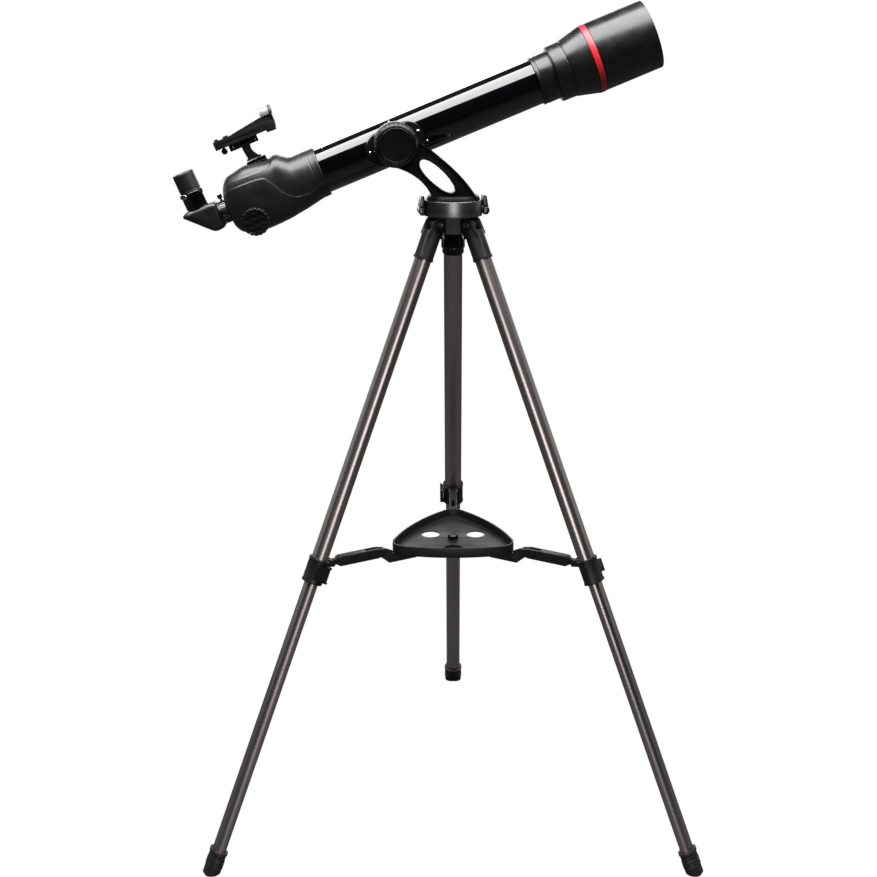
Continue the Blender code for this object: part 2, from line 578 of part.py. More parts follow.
def build_diagonal(draw):
    star = frame("diagonal_axis", draw)
    body = [(-321, 22.5), (-334, 24.8), (-374, 24.8), (-386, 19.5), (-342, -24.5), (-321, -23)]
    inside = [(-326, 14), (-376, 14), (-346, -16), (-326, -16)]
    housing = plate("diagonal_housing", body[::-1], -21, 21, star, turn=UPRIGHT, look="plastic")
    join(housing, rod("diagonal_nose", 15.6, -322, -292, star, turn=ALONG_X, sides=32))
    cut(housing,
        plate("diagonal_cavity", inside[::-1], -15, 15, star, turn=UPRIGHT),
        rod("diagonal_nose_bore", 13.8, -330, -285, star, turn=ALONG_X, sides=28),
        rod("diagonal_top_bore", 13.8, 10, 40, star, at=(DIAGONAL_S, 0, 0), sides=28))
    block("diagonal_mirror", (3, 27, 28), star, at=(-359.2, 0, -0.25), turn=(0, -45, 0), look="mirror")

    holder = turned("eyepiece_holder",
                    [(20.2, 53.5), (21, 52.7), (21, 47), (19.3, 46), (19.3, 25.1), (13.8, 25.1), (13.8, 29),
                     (16.2, 29), (16.2, 53.5)],
                    star, at=(DIAGONAL_S, 0, 0), look="gloss", steps=24)
    aim = -112.0
    screw = frame("eyepiece_screw_axis", star, at=(DIAGONAL_S, 0, 50), turn=(0, 90, aim))
    cut(holder, rod("eyepiece_screw_hole", 2.1, 10, 30, screw, sides=12))
    turned("eyepiece_screw", [(0, 28.5), (3.4, 28.5), (4, 27.8), (4, 22.2), (1.8, 22.2), (1.8, 16.6), (0, 16.6)],
           screw, look="chrome", steps=14)

    pull = frame("eyepiece_slide", star, at=(DIAGONAL_S, 0, 0))
    turned("eyepiece_barrel",
           [(17.3, 87.3), (18.5, 86.3), (18.5, 53.9), (15.9, 53.9), (15.9, 31), (13.5, 31), (13.5, 80),
            (9, 80), (9, 84), (12, 87.3)],
           pull, look="rubber", steps=24)
    turned("eye_lens", [(0, 79), (9, 79.3), (13, 79.3), (13, 76.5), (0, 74.5)], pull, look="glass", steps=20)


# ---------------------------------------------------------------- finder

def build_finder(tube):
    at = (0, TUBE_Y, 0)
    stand = [(-244, 63.5), (-218, 63.5), (-218, 66.5), (-222, 67), (-229, 82), (-228, 88.5), (-211.5, 88.5),
             (-211.5, 98.7), (-263, 98.7), (-263, 88.5), (-243, 88.5), (-243, 82), (-241, 67), (-244, 66.5)]
    plate("finder_bracket", stand, -6.5, 6.5, tube, at=at, turn=UPRIGHT, look="plastic")
    body = [(-285, 99.2), (-193, 99.2), (-193, 95.5), (-177, 94.5), (-173.5, 108), (-173.5, 122), (-197, 122),
            (-257, 113.5), (-285, 113.5)]
    sight = plate("finder_body", body, -11, 11, tube, at=at, turn=UPRIGHT, look="matte")
    lean = frame("finder_lens_lean", tube, at=(-175, TUBE_Y, 122.5), turn=(0, 6, 0))
    hoop = plate("finder_hoop", circle(0, 0, 13.5, 24), -2, 2, lean, turn=(0, 90, 0),
                 holes=[circle(0, 0, 11, 24)])
    join(sight, hoop)
    hood = rod("finder_window", 12.5, -20, -2.5, lean, turn=ALONG_X, look="smoke", sides=24)
    cut(hood,
        rod("finder_window_bore", 11.0, -30, 10, lean, turn=ALONG_X, sides=24),
        block("finder_window_foot", (80, 60, 40), tube, at=(-190, TUBE_Y, 122.3 - 20)),
        plate("finder_window_slope", [(-40, -20), (-40, 30), (-24, 30), (-12, 0), (-12, -20)], -30, 30, lean,
              turn=UPRIGHT))
    dial = frame("finder_dial_axis", tube, at=(-272.5, TUBE_Y, 93.4))
    rod("finder_dial", 5.4, -7, 7, dial, turn=ALONG_Y, look="plastic", sides=20)


# ---------------------------------------------------------------- assembly

def centre_on_floor():
    """Move the whole model so that the middle of its box's underside is the origin."""
    bpy.context.view_layer.update()
    graph = bpy.context.evaluated_depsgraph_get()
    corners = []
    for obj in PARTS.objects:
        ready = obj.evaluated_get(graph)
        corners += [ready.matrix_world @ v.co for v in ready.data.vertices]
    low = Vector([min(c[a] for c in corners) for a in range(3)])
    high = Vector([max(c[a] for c in corners) for a in range(3)])
    ORIGIN.location = (-(low.x + high.x) / 2, -(low.y + high.y) / 2, -low.z)
    bpy.context.view_layer.update()


build_head()
build_leg_bolts()
for leg_side, leg_azimuth in LEGS.items():
    build_leg(leg_side, leg_azimuth)
build_spreader()
TURNTABLE = frame("azimuth_axis", ORIGIN, turn=(0, 0, YAW))
TUBE = frame("altitude_axis", TURNTABLE, at=(HUB[0], 0, HUB[1]), turn=(0, -TILT, 0))
HOOD = frame("dew_shield_slide", TUBE, at=(0, TUBE_Y, 0))
build_arm(TURNTABLE)
build_altitude(TURNTABLE, TUBE)
build_tube(TUBE)
build_dew_shield(HOOD)
build_housing(TUBE)
DRAW = build_focuser(TUBE)
build_diagonal(DRAW)
build_finder(TUBE)
centre_on_floor()
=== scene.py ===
"""The looks of a small refracting telescope on its tripod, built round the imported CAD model.

Lengths are in millimetres in each piece's own frame, and MM turns them into metres. Every frame comes
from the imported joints: a place, an axis and the directions beside it.
"""
import json
import math

import bmesh
import bpy
from mathutils import Matrix, Vector


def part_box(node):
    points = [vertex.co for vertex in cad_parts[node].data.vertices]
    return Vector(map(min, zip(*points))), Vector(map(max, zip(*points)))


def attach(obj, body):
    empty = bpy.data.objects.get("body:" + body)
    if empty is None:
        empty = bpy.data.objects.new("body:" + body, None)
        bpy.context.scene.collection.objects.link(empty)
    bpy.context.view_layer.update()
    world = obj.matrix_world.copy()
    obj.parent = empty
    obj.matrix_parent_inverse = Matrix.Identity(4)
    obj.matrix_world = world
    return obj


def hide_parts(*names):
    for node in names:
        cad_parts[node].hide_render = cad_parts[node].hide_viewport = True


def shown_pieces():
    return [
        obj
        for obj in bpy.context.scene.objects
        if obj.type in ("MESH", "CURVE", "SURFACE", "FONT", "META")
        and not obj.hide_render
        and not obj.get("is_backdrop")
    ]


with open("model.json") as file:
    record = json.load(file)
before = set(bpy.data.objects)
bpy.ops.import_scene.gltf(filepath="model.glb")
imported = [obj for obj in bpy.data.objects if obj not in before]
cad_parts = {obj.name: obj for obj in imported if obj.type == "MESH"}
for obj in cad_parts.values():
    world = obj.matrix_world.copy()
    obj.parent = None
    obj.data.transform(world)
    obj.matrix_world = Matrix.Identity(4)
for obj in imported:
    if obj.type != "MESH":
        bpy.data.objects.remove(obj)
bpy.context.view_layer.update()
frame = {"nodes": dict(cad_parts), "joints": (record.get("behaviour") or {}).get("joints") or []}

MM = 0.001
SIDES = ("rear", "left", "right")
UPPER_OVAL = (25.4, 33.0)    # upper leg tube, radial by tangential
LOWER_OVAL = (20.0, 29.4)
TUBE_R = 38.0
TUBE_Y = 50.0                # optical axis behind the altitude axis's own origin
DIAGONAL_S = -354.0          # eyepiece axis along the tube
TRAY_CORNER, TRAY_BULGE = 96, 11    # the tray's corner centres, and how far its sides bow out
CUP_AT = 48                  # centres of the tray's three holes, from its middle


# ---------------------------------------------------------------- frames

JOINTS = {joint["name"]: joint for joint in frame["joints"]}


def place_of(joint):
    return Vector(JOINTS[joint]["pos_m"])


def axis_of(joint):
    return Vector(JOINTS[joint]["axis"]).normalized()


def axes(origin, x, y):
    """A frame at a point, from its X and Y directions."""
    turn = Matrix((x, y, x.cross(y))).transposed().to_4x4()
    return Matrix.Translation(origin) @ turn


def moved(base, x=0.0, y=0.0, z=0.0):
    return base @ Matrix.Translation(Vector((x, y, z)) * MM)


def tipped(base, degrees, axis):
    return base @ Matrix.Rotation(math.radians(degrees), 4, axis)


def upright(base):
    """Local XY becomes XZ, and local Z points towards -Y."""
    return tipped(base, 90, "X")


def along_x(base):
    return tipped(base, 90, "Y")


def along_y(base):
    return tipped(base, -90, "X")


UP = Vector((0, 0, 1))
ACROSS = -axis_of("altitude_tilt")
FLOOR = Matrix.Translation(Vector((*place_of("azimuth_turn")[:2], 0)))
TURNTABLE = axes(FLOOR.translation, ACROSS.cross(UP), ACROSS)
TUBE = axes(place_of("altitude_tilt"), axis_of("dew_shield_pull"), ACROSS)
OPTIC = moved(TUBE, y=TUBE_Y)
HUB = TURNTABLE.inverted() @ TUBE.translation / MM
LEG = {}
for leg_side in SIDES:
    tangent, upward = axis_of(leg_side + "_leg_fold"), axis_of(leg_side + "_leg_slide")
    LEG[leg_side] = axes(place_of(leg_side + "_leg_fold"), tangent.cross(upward), tangent)
LEG_LENGTH = place_of("rear_leg_fold").z / axis_of("rear_leg_slide").z / MM


# ---------------------------------------------------------------- materials

def link_range(nodes, links, source, low, high, start=0.3, end=0.7):
    """A value that goes from low to high as the source goes from start to end."""
    spread = nodes.new("ShaderNodeMapRange")
    for name, value in (("From Min", start), ("From Max", end), ("To Min", low), ("To Max", high)):
        spread.inputs[name].default_value = value
    links.new(source, spread.inputs["Value"])
    return spread.outputs["Result"]


def finish(name, colour, roughness, metallic=0.0, grain=0.3, grain_mm=0.5, stretch=(1, 1, 1), mottle=0.18,
           vary=0.05, coat=0.0, specular=0.5):
    """A moulded, painted or drawn surface: fine grain as bump, and slow changes of colour and gloss."""
    material = bpy.data.materials.new(name)
    material.use_nodes = True
    nodes, links = material.node_tree.nodes, material.node_tree.links
    shader = nodes["Principled BSDF"]
    shader.inputs["Metallic"].default_value = metallic
    shader.inputs["Coat Weight"].default_value = coat
    shader.inputs["Coat Roughness"].default_value = 0.05
    shader.inputs["Specular IOR Level"].default_value = specular
    coords = nodes.new("ShaderNodeTexCoord")
    mapping = nodes.new("ShaderNodeMapping")
    mapping.inputs["Scale"].default_value = stretch
    links.new(coords.outputs["Object"], mapping.inputs["Vector"])
    slow = nodes.new("ShaderNodeTexNoise")
    slow.inputs["Scale"].default_value = 45.0
    slow.inputs["Detail"].default_value = 3.0
    links.new(mapping.outputs["Vector"], slow.inputs["Vector"])
    fine = nodes.new("ShaderNodeTexNoise")
    fine.inputs["Scale"].default_value = 1 / (grain_mm * MM)
    fine.inputs["Detail"].default_value = 2.0
    links.new(mapping.outputs["Vector"], fine.inputs["Vector"])
    mix = nodes.new("ShaderNodeMix")
    mix.data_type = "RGBA"
    mix.inputs["A"].default_value = (*[c * (1 - mottle) for c in colour], 1)
    mix.inputs["B"].default_value = (*[c * (1 + mottle) for c in colour], 1)
    links.new(link_range(nodes, links, slow.outputs["Fac"], 0, 1), mix.inputs["Factor"])
    links.new(mix.outputs["Result"], shader.inputs["Base Color"])
    rough = link_range(nodes, links, slow.outputs["Fac"], max(roughness - vary, 0.02), roughness + vary)
    links.new(rough, shader.inputs["Roughness"])
    bump = nodes.new("ShaderNodeBump")
    bump.inputs["Strength"].default_value = grain
    bump.inputs["Distance"].default_value = 0.05 * MM
    links.new(fine.outputs["Fac"], bump.inputs["Height"])
    links.new(bump.outputs["Normal"], shader.inputs["Normal"])
    return material


def glass(name, colour, roughness, transmission, coat_tint=None):
    material = bpy.data.materials.new(name)
    material.use_nodes = True
    shader = material.node_tree.nodes["Principled BSDF"]
    shader.inputs["Base Color"].default_value = (*colour, 1)
    shader.inputs["Roughness"].default_value = roughness
    shader.inputs["IOR"].default_value = 1.5
    shader.inputs["Transmission Weight"].default_value = transmission
    if coat_tint:
        shader.inputs["Coat Weight"].default_value = 0.6
        shader.inputs["Coat Tint"].default_value = (*coat_tint, 1)
    return material


LOOK = {
    "gloss": finish("gloss_black_paint", (0.0015, 0.0015, 0.0018), 0.07, grain=0.04, grain_mm=1.2, vary=0.015,
                    coat=0.4),
    "satin": finish("satin_charcoal_plastic", (0.0055, 0.0055, 0.006), 0.30, grain=0.22, grain_mm=0.45),
    "mount": finish("mount_plastic", (0.0055, 0.0055, 0.006), 0.36, grain=0.22, grain_mm=0.45, specular=0.16),
    "shell": finish("housing_plastic", (0.011, 0.011, 0.012), 0.36, grain=0.25, grain_mm=0.6),
    "dark": finish("dark_plastic", (0.003, 0.003, 0.0033), 0.30, grain=0.25, grain_mm=0.5),
    "grey": finish("tray_and_joint_plastic", (0.0055, 0.0055, 0.006), 0.45, grain=0.35, grain_mm=0.5,
                   specular=0.3),
    "matte": finish("matte_black_plastic", (0.006, 0.006, 0.0065), 0.46, grain=0.4, grain_mm=0.5),
    "flock": finish("matt_black_inside", (0.002, 0.002, 0.002), 0.85, grain=0.6, grain_mm=0.3, specular=0.2),
    "wheel": finish("wheel_rubber", (0.0028, 0.0028, 0.0028), 0.42, grain=0.3, grain_mm=0.4, specular=0.25),
    "rubber": finish("rubber", (0.0075, 0.0075, 0.0075), 0.50, grain=0.5, grain_mm=0.35),
    "leg": finish("anodised_leg_tube", (0.35, 0.31, 0.302), 0.34, metallic=1.0, grain=0.12, grain_mm=0.6,
                  stretch=(1, 1, 0.03), mottle=0.06),
    "brushed": finish("brushed_band", (0.17, 0.17, 0.17), 0.38, metallic=1.0, grain=0.5, grain_mm=0.7,
                      stretch=(0.02, 0.02, 1), mottle=0.08),
    "chrome": finish("polished_steel", (0.62, 0.62, 0.63), 0.16, metallic=1.0, grain=0.03, mottle=0.03),
    "bolt": finish("dull_steel", (0.22, 0.22, 0.22), 0.34, metallic=1.0, grain=0.10, mottle=0.08),
    "silver": finish("satin_silver", (0.11, 0.11, 0.107), 0.34, metallic=1.0, grain=0.10, mottle=0.05),
    "red": finish("red_band", (0.62, 0.016, 0.030), 0.34, grain=0.06, mottle=0.05),
    "lens": glass("coated_lens", (0.92, 0.96, 1.0), 0.0, 1.0, coat_tint=(0.55, 0.75, 1.0)),
    "window": glass("grey_window", (0.20, 0.205, 0.21), 0.45, 0.15),
    "mirror": finish("front_silvered", (0.92, 0.92, 0.92), 0.02, metallic=1.0, grain=0.0, mottle=0.01,
                     vary=0.0),
}


# ---------------------------------------------------------------- mesh tools

def shade(data, degrees=40):
    data.shade_smooth()
    data.set_sharp_from_angle(angle=math.radians(degrees))
    return data


def to_mesh(name, bm):
    bmesh.ops.recalc_face_normals(bm, faces=bm.faces)
    data = bpy.data.meshes.new(name)
    bm.to_mesh(data)
    bm.free()
    return data


def linked(name, data, at=Matrix.Identity(4)):
    """An object in the scene that holds this data."""
    thing = bpy.data.objects.new(name, data)
    bpy.context.scene.collection.objects.link(thing)
    thing.matrix_world = at
    return thing


def baked(thing):
    """The mesh that an object's modifiers make of it. The object itself goes."""
    bpy.context.view_layer.update()
    data = bpy.data.meshes.new_from_object(thing.evaluated_get(bpy.context.evaluated_depsgraph_get()))
    bpy.data.objects.remove(thing, do_unlink=True)
    return data


def show(name, data, at, body, slot, look, *nodes):
    """A finished piece: placed, riding on its body, and standing for its CAD nodes."""
    piece = linked(name, data, at)
    data.materials.clear()
    data.materials.append(LOOK[look])
    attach(piece, body)
    if nodes:
        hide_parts(*nodes)


def arc(cx, cy, radius, start, end, count):
    angles = [math.radians(start + (end - start) * i / count) for i in range(count + 1)]
    return [(cx + radius * math.cos(a), cy + radius * math.sin(a)) for a in angles]


def circle(cx, cy, radius, count=48):
    return arc(cx, cy, radius, 0, 360, count)[:-1]


def oval(size, grow=0.0, count=20):
    """A flat-sided oval, size[0] in X and the longer size[1] in Y."""
    radius, flat = size[0] / 2 + grow, (size[1] - size[0]) / 2
    return arc(0, flat, radius, 0, 180, count) + arc(0, -flat, radius, 180, 360, count)


def bezier(p0, p1, p2, p3, count):
    """Points along a cubic curve, without its last one."""
    points = []
    for i in range(count):
        t = i / count
        w = ((1 - t) ** 3, 3 * t * (1 - t) ** 2, 3 * t * t * (1 - t), t ** 3)
        points.append(tuple(sum(k * p[a] for k, p in zip(w, (p0, p1, p2, p3))) for a in (0, 1)))
    return points


def soften(outline, radius, closed=True):
    """Round the corners of an outline, each with a short curve."""
    result = []
    for i, point in enumerate(outline):
        here = Vector(point)
        before, after = Vector(outline[i - 1]), Vector(outline[(i + 1) % len(outline)])
        if not closed and i in (0, len(outline) - 1):
            result.append(tuple(here))
            continue
        reach = min(radius, (before - here).length * 0.45, (after - here).length * 0.45)
        start = here + (before - here).normalized() * reach
        end = here + (after - here).normalized() * reach
        for t in (0, 0.33, 0.67, 1):
            result.append(tuple(start * (1 - t) ** 2 + here * 2 * t * (1 - t) + end * t * t))
    return result


def shifted(run, depth, closed=False):
    """A run of points moved to its left by depth, as seen along it."""
    result = []
    for i, point in enumerate(run):
        before = run[i - 1] if closed or i else run[i]
        after = run[(i + 1) % len(run)] if closed or i < len(run) - 1 else run[i]
        along = Vector(after) - Vector(before)
        result.append(tuple(Vector(point) + Vector((-along.y, along.x)).normalized() * depth))
    return result


def step(value, width):
    """0 rising smoothly to 1 over this width, halfway at zero."""
    t = min(max(value / width + 0.5, 0), 1)
    return t * t * (3 - 2 * t)


def knurl(teeth, depth, beyond):
    """A ripple for lathe(): straight grooves round everything past one radius."""
    def ripple(angle, radius, height):
        return (-depth * step(math.cos(teeth * angle), 0.6) if radius > beyond else 0, 0)
    return ripple


def lathe(name, profile, steps=96, ripple=None, rounding=0.4):
    """A body of revolution about local Z. ripple(angle, radius, height) moves a point out and up."""
    closed = profile[0][0] > 0
    if rounding:
        profile = soften(profile, rounding, closed)
    bm = bmesh.new()
    rings = []
    for radius, height in profile:
        ring = []
        for k in range(steps if radius > 0 else 1):
            angle = math.tau * k / steps
            out, rise = ripple(angle, radius, height) if ripple and radius > 0 else (0, 0)
            reach = radius + out
            point = Vector((reach * math.cos(angle), reach * math.sin(angle), height + rise))
            ring.append(bm.verts.new(point * MM))
        rings.append(ring)
    for a, b in zip(rings, rings[1:] + (rings[:1] if closed else [])):
        for k in range(steps):
            j = (k + 1) % steps
            if len(a) > 1 and len(b) > 1:
                bm.faces.new((a[k], b[k], b[j], a[j]))
            elif len(b) > 1:
                bm.faces.new((a[0], b[k], b[j]))
            elif len(a) > 1:
                bm.faces.new((a[k], b[0], a[j]))
    return shade(to_mesh(name, bm))


def rod(name, radius, low, high, steps=48):
    bm = bmesh.new()
    bmesh.ops.create_cone(bm, cap_ends=True, segments=steps, radius1=radius * MM, radius2=radius * MM,
                          depth=(high - low) * MM)
    bmesh.ops.translate(bm, vec=(0, 0, (high + low) / 2 * MM), verts=bm.verts)
    return shade(to_mesh(name, bm))


def block(name, x, y, z):
    bm = bmesh.new()
    bmesh.ops.create_cube(bm, size=1.0)
    bmesh.ops.scale(bm, vec=Vector((x, y, z)) * MM, verts=bm.verts)
    return to_mesh(name, bm)


def plate(name, outline, low, high, holes=()):
    """A flat outline in local XY, with its holes, extruded along local Z from low to high."""
    curve = bpy.data.curves.new(name, "CURVE")
    curve.dimensions = "2D"
    curve.fill_mode = "BOTH"
    curve.extrude = (high - low) / 2 * MM
    for loop in (outline, *holes):
        spline = curve.splines.new("POLY")
        spline.points.add(len(loop) - 1)
        for point, (x, y) in zip(spline.points, loop):
            point.co = (x * MM, y * MM, 0, 1)
        spline.use_cyclic_u = True
    bm = bmesh.new()
    bm.from_mesh(baked(linked(name, curve)))
    bmesh.ops.remove_doubles(bm, verts=bm.verts, dist=0.01 * MM)
    bmesh.ops.translate(bm, vec=(0, 0, (high + low) / 2 * MM), verts=bm.verts)
    return to_mesh(name, bm)


def inset(outline, depth):
    """A convex outline, listed anticlockwise, with every edge moved inward by depth."""
    result = []
    for i, point in enumerate(outline):
        here, before, after = Vector(point), Vector(outline[i - 1]), Vector(outline[(i + 1) % len(outline)])
        come, go = (here - before).normalized(), (after - here).normalized()
        inward = Vector((-come.y, come.x)), Vector((-go.y, go.x))
        bisector = (inward[0] + inward[1]).normalized()
        result.append(tuple(here + bisector * depth / bisector.dot(inward[0])))
    return result


def pillow(name, outline, half, rounding, corner, steps=9):
    """A convex outline as a slab along local Z, from -half to half, whose two rims are rounded."""
    turns = [math.pi / 2 * i / (steps - 1) for i in range(steps)]
    rim = [(rounding * (1 - math.cos(turn)), half - rounding + rounding * math.sin(turn)) for turn in turns]
    bm = bmesh.new()
    rows = []
    for depth, z in [(depth, -z) for depth, z in reversed(rim)] + rim:
        ring = soften(inset(outline, depth), max(corner - depth, 0.6))
        rows.append([bm.verts.new((x * MM, y * MM, z * MM)) for x, y in ring])
    for first, second in zip(rows, rows[1:]):
        for i in range(len(first)):
            j = (i + 1) % len(first)
            bm.faces.new((first[i], first[j], second[j], second[i]))
    bm.faces.new(rows[0][::-1])
    bm.faces.new(rows[-1])
    return to_mesh(name, bm)


def worked(base, at, joined=(), removed=(), bevel=0.0, segments=3, sharp=32):
    """A solid with others joined to it and cut from it, then its edges rounded.

    The others are (mesh, frame) pairs.
    """
    solid = linked("solid", base, at)
    tools = []
    for operation, pairs in (("UNION", joined), ("DIFFERENCE", removed)):
        for data, where in pairs:
            tools.append(linked("tool", data, where))
            change = solid.modifiers.new("change", "BOOLEAN")
            change.operation, change.solver, change.object = operation, "EXACT", tools[-1]
    if bevel:
        weld = solid.modifiers.new("weld", "WELD")
        weld.merge_threshold = 0.02 * MM
        edge = solid.modifiers.new("edge", "BEVEL")
        edge.width, edge.segments, edge.limit_method = bevel * MM, segments, "ANGLE"
        edge.angle_limit = math.radians(sharp)
        edge.use_clamp_overlap = True
    data = baked(solid)
    data.name = base.name
    for tool in tools:
        bpy.data.objects.remove(tool, do_unlink=True)
    return shade(data)


# ---------------------------------------------------------------- tripod head

def build_head():
    added = [(rod("core", 20, 1100, 1130.5), FLOOR)]
    removed = [(rod("bore", 6.6, 1090, 1140), FLOOR)]
    for side in SIDES:
        hinge = FLOOR.inverted() @ LEG[side].translation / MM
        spoke = tipped(FLOOR, math.degrees(math.atan2(hinge.y, hinge.x)), "Z")
        reach, height = math.hypot(hinge.x, hinge.y), hinge.z
        bolt_at = along_y(moved(spoke, x=reach, z=height))
        lug = [(0, height - 9)] + arc(reach, height, 9, -90, 90, 16) + [(reach - 4, 1130.5), (0, 1130.5)]
        added.append((plate("lug", lug, -8, 8), upright(spoke)))
        added.append((block("pad", 29, 24, 30.2), moved(spoke, x=-14.5, z=1115.3)))
        removed.append((rod("bolt_bore", 3.3, -12, 12), bolt_at))
        show(side + "_hinge_bolt", bolt_mesh(), bolt_at, "tripod_head", "steel", "bolt",
             side + "_leg_bolt")
    casting = worked(rod("head_block", 50, 1130, 1131, 96), FLOOR, added, removed, bevel=0.9)
    show("head_block", casting, FLOOR, "tripod_head", "matte_black", "matte", "head_casting")
    for i, azimuth in enumerate((8, 188)):
        spoke = tipped(FLOOR, azimuth, "Z")
        skirt = [(50.6, 1131.4), (57, 1131.4), (61, 1137), (59.8, 1144), (50.6, 1144)]
        cap = [(50.6, 1144.2), (59.2, 1144.2), (55.8, 1163.6), (50.6, 1163.6)]
        for part, shape, half, look in (("skirt", skirt, 17, "dark"), ("cap", cap, 14.5, "satin")):
            ear = worked(plate("ear_" + part, shape, -half, half), upright(spoke), bevel=1.2)
            show("ear_%s_%d" % (part, i), ear, upright(spoke), "tripod_head", "matte_black", look)
    band = [(50, 1156.7), (50, 1131.3), (43.5, 1131.3), (43.5, 1156.7)]
    show("brushed_band", lathe("brushed_band", band, 160, rounding=0.8), FLOOR, "tripod_head",
         "brushed_black", "brushed", "head_ring")


def bolt_mesh():
    """A cap head, a shank and a nut with six flats."""
    def flats(angle, radius, height):
        corner = math.cos(math.pi / 6) / math.cos((angle % (math.pi / 3)) - math.pi / 6)
        return (5.0 * corner - radius if height < -17.05 and radius > 4.5 else 0, 0)
    profile = [(0, 18.9), (1.7, 18.9), (2.2, 20.2), (5.4, 20.2), (5.4, 17.0), (3.0, 17.0), (3.0, -17.0),
               (5.2, -17.0), (5.2, -20.4), (0, -20.4)]
    return lathe("bolt", profile, 48, flats, rounding=0.35)


# ---------------------------------------------------------------- legs

def build_leg(side):
    leg = LEG[side]
    tube = plate("upper_tube", oval(UPPER_OVAL), -628, -31.3, [oval(UPPER_OVAL, -1.2)])
    show(side + "_upper_tube", shade(tube), leg, side + "_leg", "leg", "leg", side + "_upper_leg")
    tube = plate("lower_tube", oval(LOWER_OVAL), -LEG_LENGTH + 14, -540, [oval(LOWER_OVAL, -1.2)])
    show(side + "_lower_tube", shade(tube), leg, side + "_lower", "leg", "leg", side + "_lower_leg")
    build_crown(side, leg)
    build_collar(side, leg)
    build_foot(side, leg)
    build_brace(side)


def build_crown(side, leg):
    fork = arc(0, 0, 11, 0, 180, 24) + [(-12.5, -22), (12.5, -22)]
    crown = worked(plate("crown", oval(UPPER_OVAL, 1.9), -64, -14), leg,
                   [(plate("fork", fork, -16.6, 16.6), upright(leg)),
                    (plate("lip", oval(UPPER_OVAL, 2.7), -64, -59), leg)],
                   [(plate("socket", oval(UPPER_OVAL, 0.3), -70, -31), leg),
                    (block("slot", 40, 17.2, 42), moved(leg, z=8)),
                    (rod("bore", 3.3, -20, 20), along_y(leg))], bevel=0.9)
    show(side + "_crown_fork", crown, leg, side + "_leg", "matte_black", "grey", side + "_crown")


def build_collar(side, leg):
    swing = leg.inverted() @ place_of(side + "_brace_swing") / MM
    lug = soften([(swing.x - 5.5, swing.z + 3), (swing.x - 5.5, swing.z - 5), (swing.x, swing.z - 6),
                  (-12, swing.z - 9), (-12, swing.z + 5), (swing.x, swing.z + 5.5)], 2.5)
    joined = [(plate("brace_lug", lug, low, low + 4.2), upright(leg)) for low in (-8.8, 4.6)]
    joined.append((rod("brace_pin", 2.4, -6, 6), along_y(moved(leg, x=swing.x, z=swing.z))))
    joined += [(block("lever_ear", 8, 9, 3), moved(leg, x=-11.5, y=21.5, z=z)) for z in (-619.5, -646.5)]
    joined.append((rod("lever_pin", 1.5, -647, -619), moved(leg, x=-11.5, y=23.2)))
    joined += [(plate("bead", oval(UPPER_OVAL, 4.0), z, z + 3.2), leg) for z in (-655, -614.2)]
    removed = [(plate("bore", oval(UPPER_OVAL, 0.3), -628.3, -601), leg),
               (plate("throat", oval(LOWER_OVAL, 0.3), -665, -626), leg)]
    collar = worked(plate("collar", oval(UPPER_OVAL, 3.2), -655, -611), leg, joined, removed, bevel=0.7)
    show(side + "_collar_moulding", collar, leg, side + "_leg", "satin_black", "grey", side + "_collar")
    lever = moved(leg, x=-11.5, y=23.2, z=-633)
    shape = arc(0, 0, 3.2, 90, 270, 16) + [(12, -3.3), (20, -2.6), (25, 1.5), (24.4, 3.4), (19.5, 1.8),
                                           (10, 2.6)]
    grooves = [(block("grip_groove", 1.2, 2, 30), moved(lever, x=x, y=-3.4)) for x in (12, 15, 18)]
    handle = worked(plate("lever", shape, -11.6, 11.6, [circle(0, 0, 1.9, 24)]), lever,
                    removed=grooves, bevel=0.45)
    show(side + "_lever_handle", handle, lever, side + "_lever", "satin_black", "dark", side + "_lock_lever")


def build_foot(side, leg):
    ground = moved(FLOOR, z=-100)
    ribs = [(plate("rib", oval(LOWER_OVAL, 4.1), z, z + 2.2), leg) for z in (-1196, -1190.5, -1185)]
    rim = [(plate("rim", oval(LOWER_OVAL, 4.6), -1171, -1166), leg)]
    foot = worked(plate("foot", oval(LOWER_OVAL, 3.2), -LEG_LENGTH - 30, -1166), leg, ribs + rim,
                  [(plate("socket", oval(LOWER_OVAL, 0.3), -LEG_LENGTH + 13.7, -1156), leg),
                   (block("ground", 2000, 2000, 200), ground)], bevel=0.7)
    show(side + "_rubber_foot", foot, leg, side + "_lower", "rubber", "rubber", side + "_foot")


def build_brace(side):
    swing, inner = place_of(side + "_brace_swing"), 101.0
    outward = (LEG[side].translation - FLOOR.translation) * Vector((1, 1, 0))
    brace = axes(swing, outward.normalized(), axis_of(side + "_leg_fold"))
    shape = (arc(-inner, 0, 6.5, 90, 270, 20) + [(-inner + 12, -9), (-16, -9), (-9, -5.5)]
             + arc(0, 0, 5.5, -90, 90, 16) + [(-9, 5.5), (-16, 9), (-inner + 12, 9)])
    removed = [(block("slot", 68, 7, 40), moved(brace, x=-inner)),
               (block("trough", 46, 9.4, 6), moved(brace, x=-inner + 57, z=-9))]
    removed += [(block("neck", 22, 6, 40), moved(brace, y=y)) for y in (7.2, -7.2)]
    strut = worked(plate("brace", shape, -7.5, 7.5, [circle(0, 0, 2.8)]), upright(brace), removed=removed,
                   bevel=0.6)
    show(side + "_brace_channel", strut, upright(brace), side + "_strut", "matte_black", "grey",
         side + "_brace")


# ---------------------------------------------------------------- spreader and tray

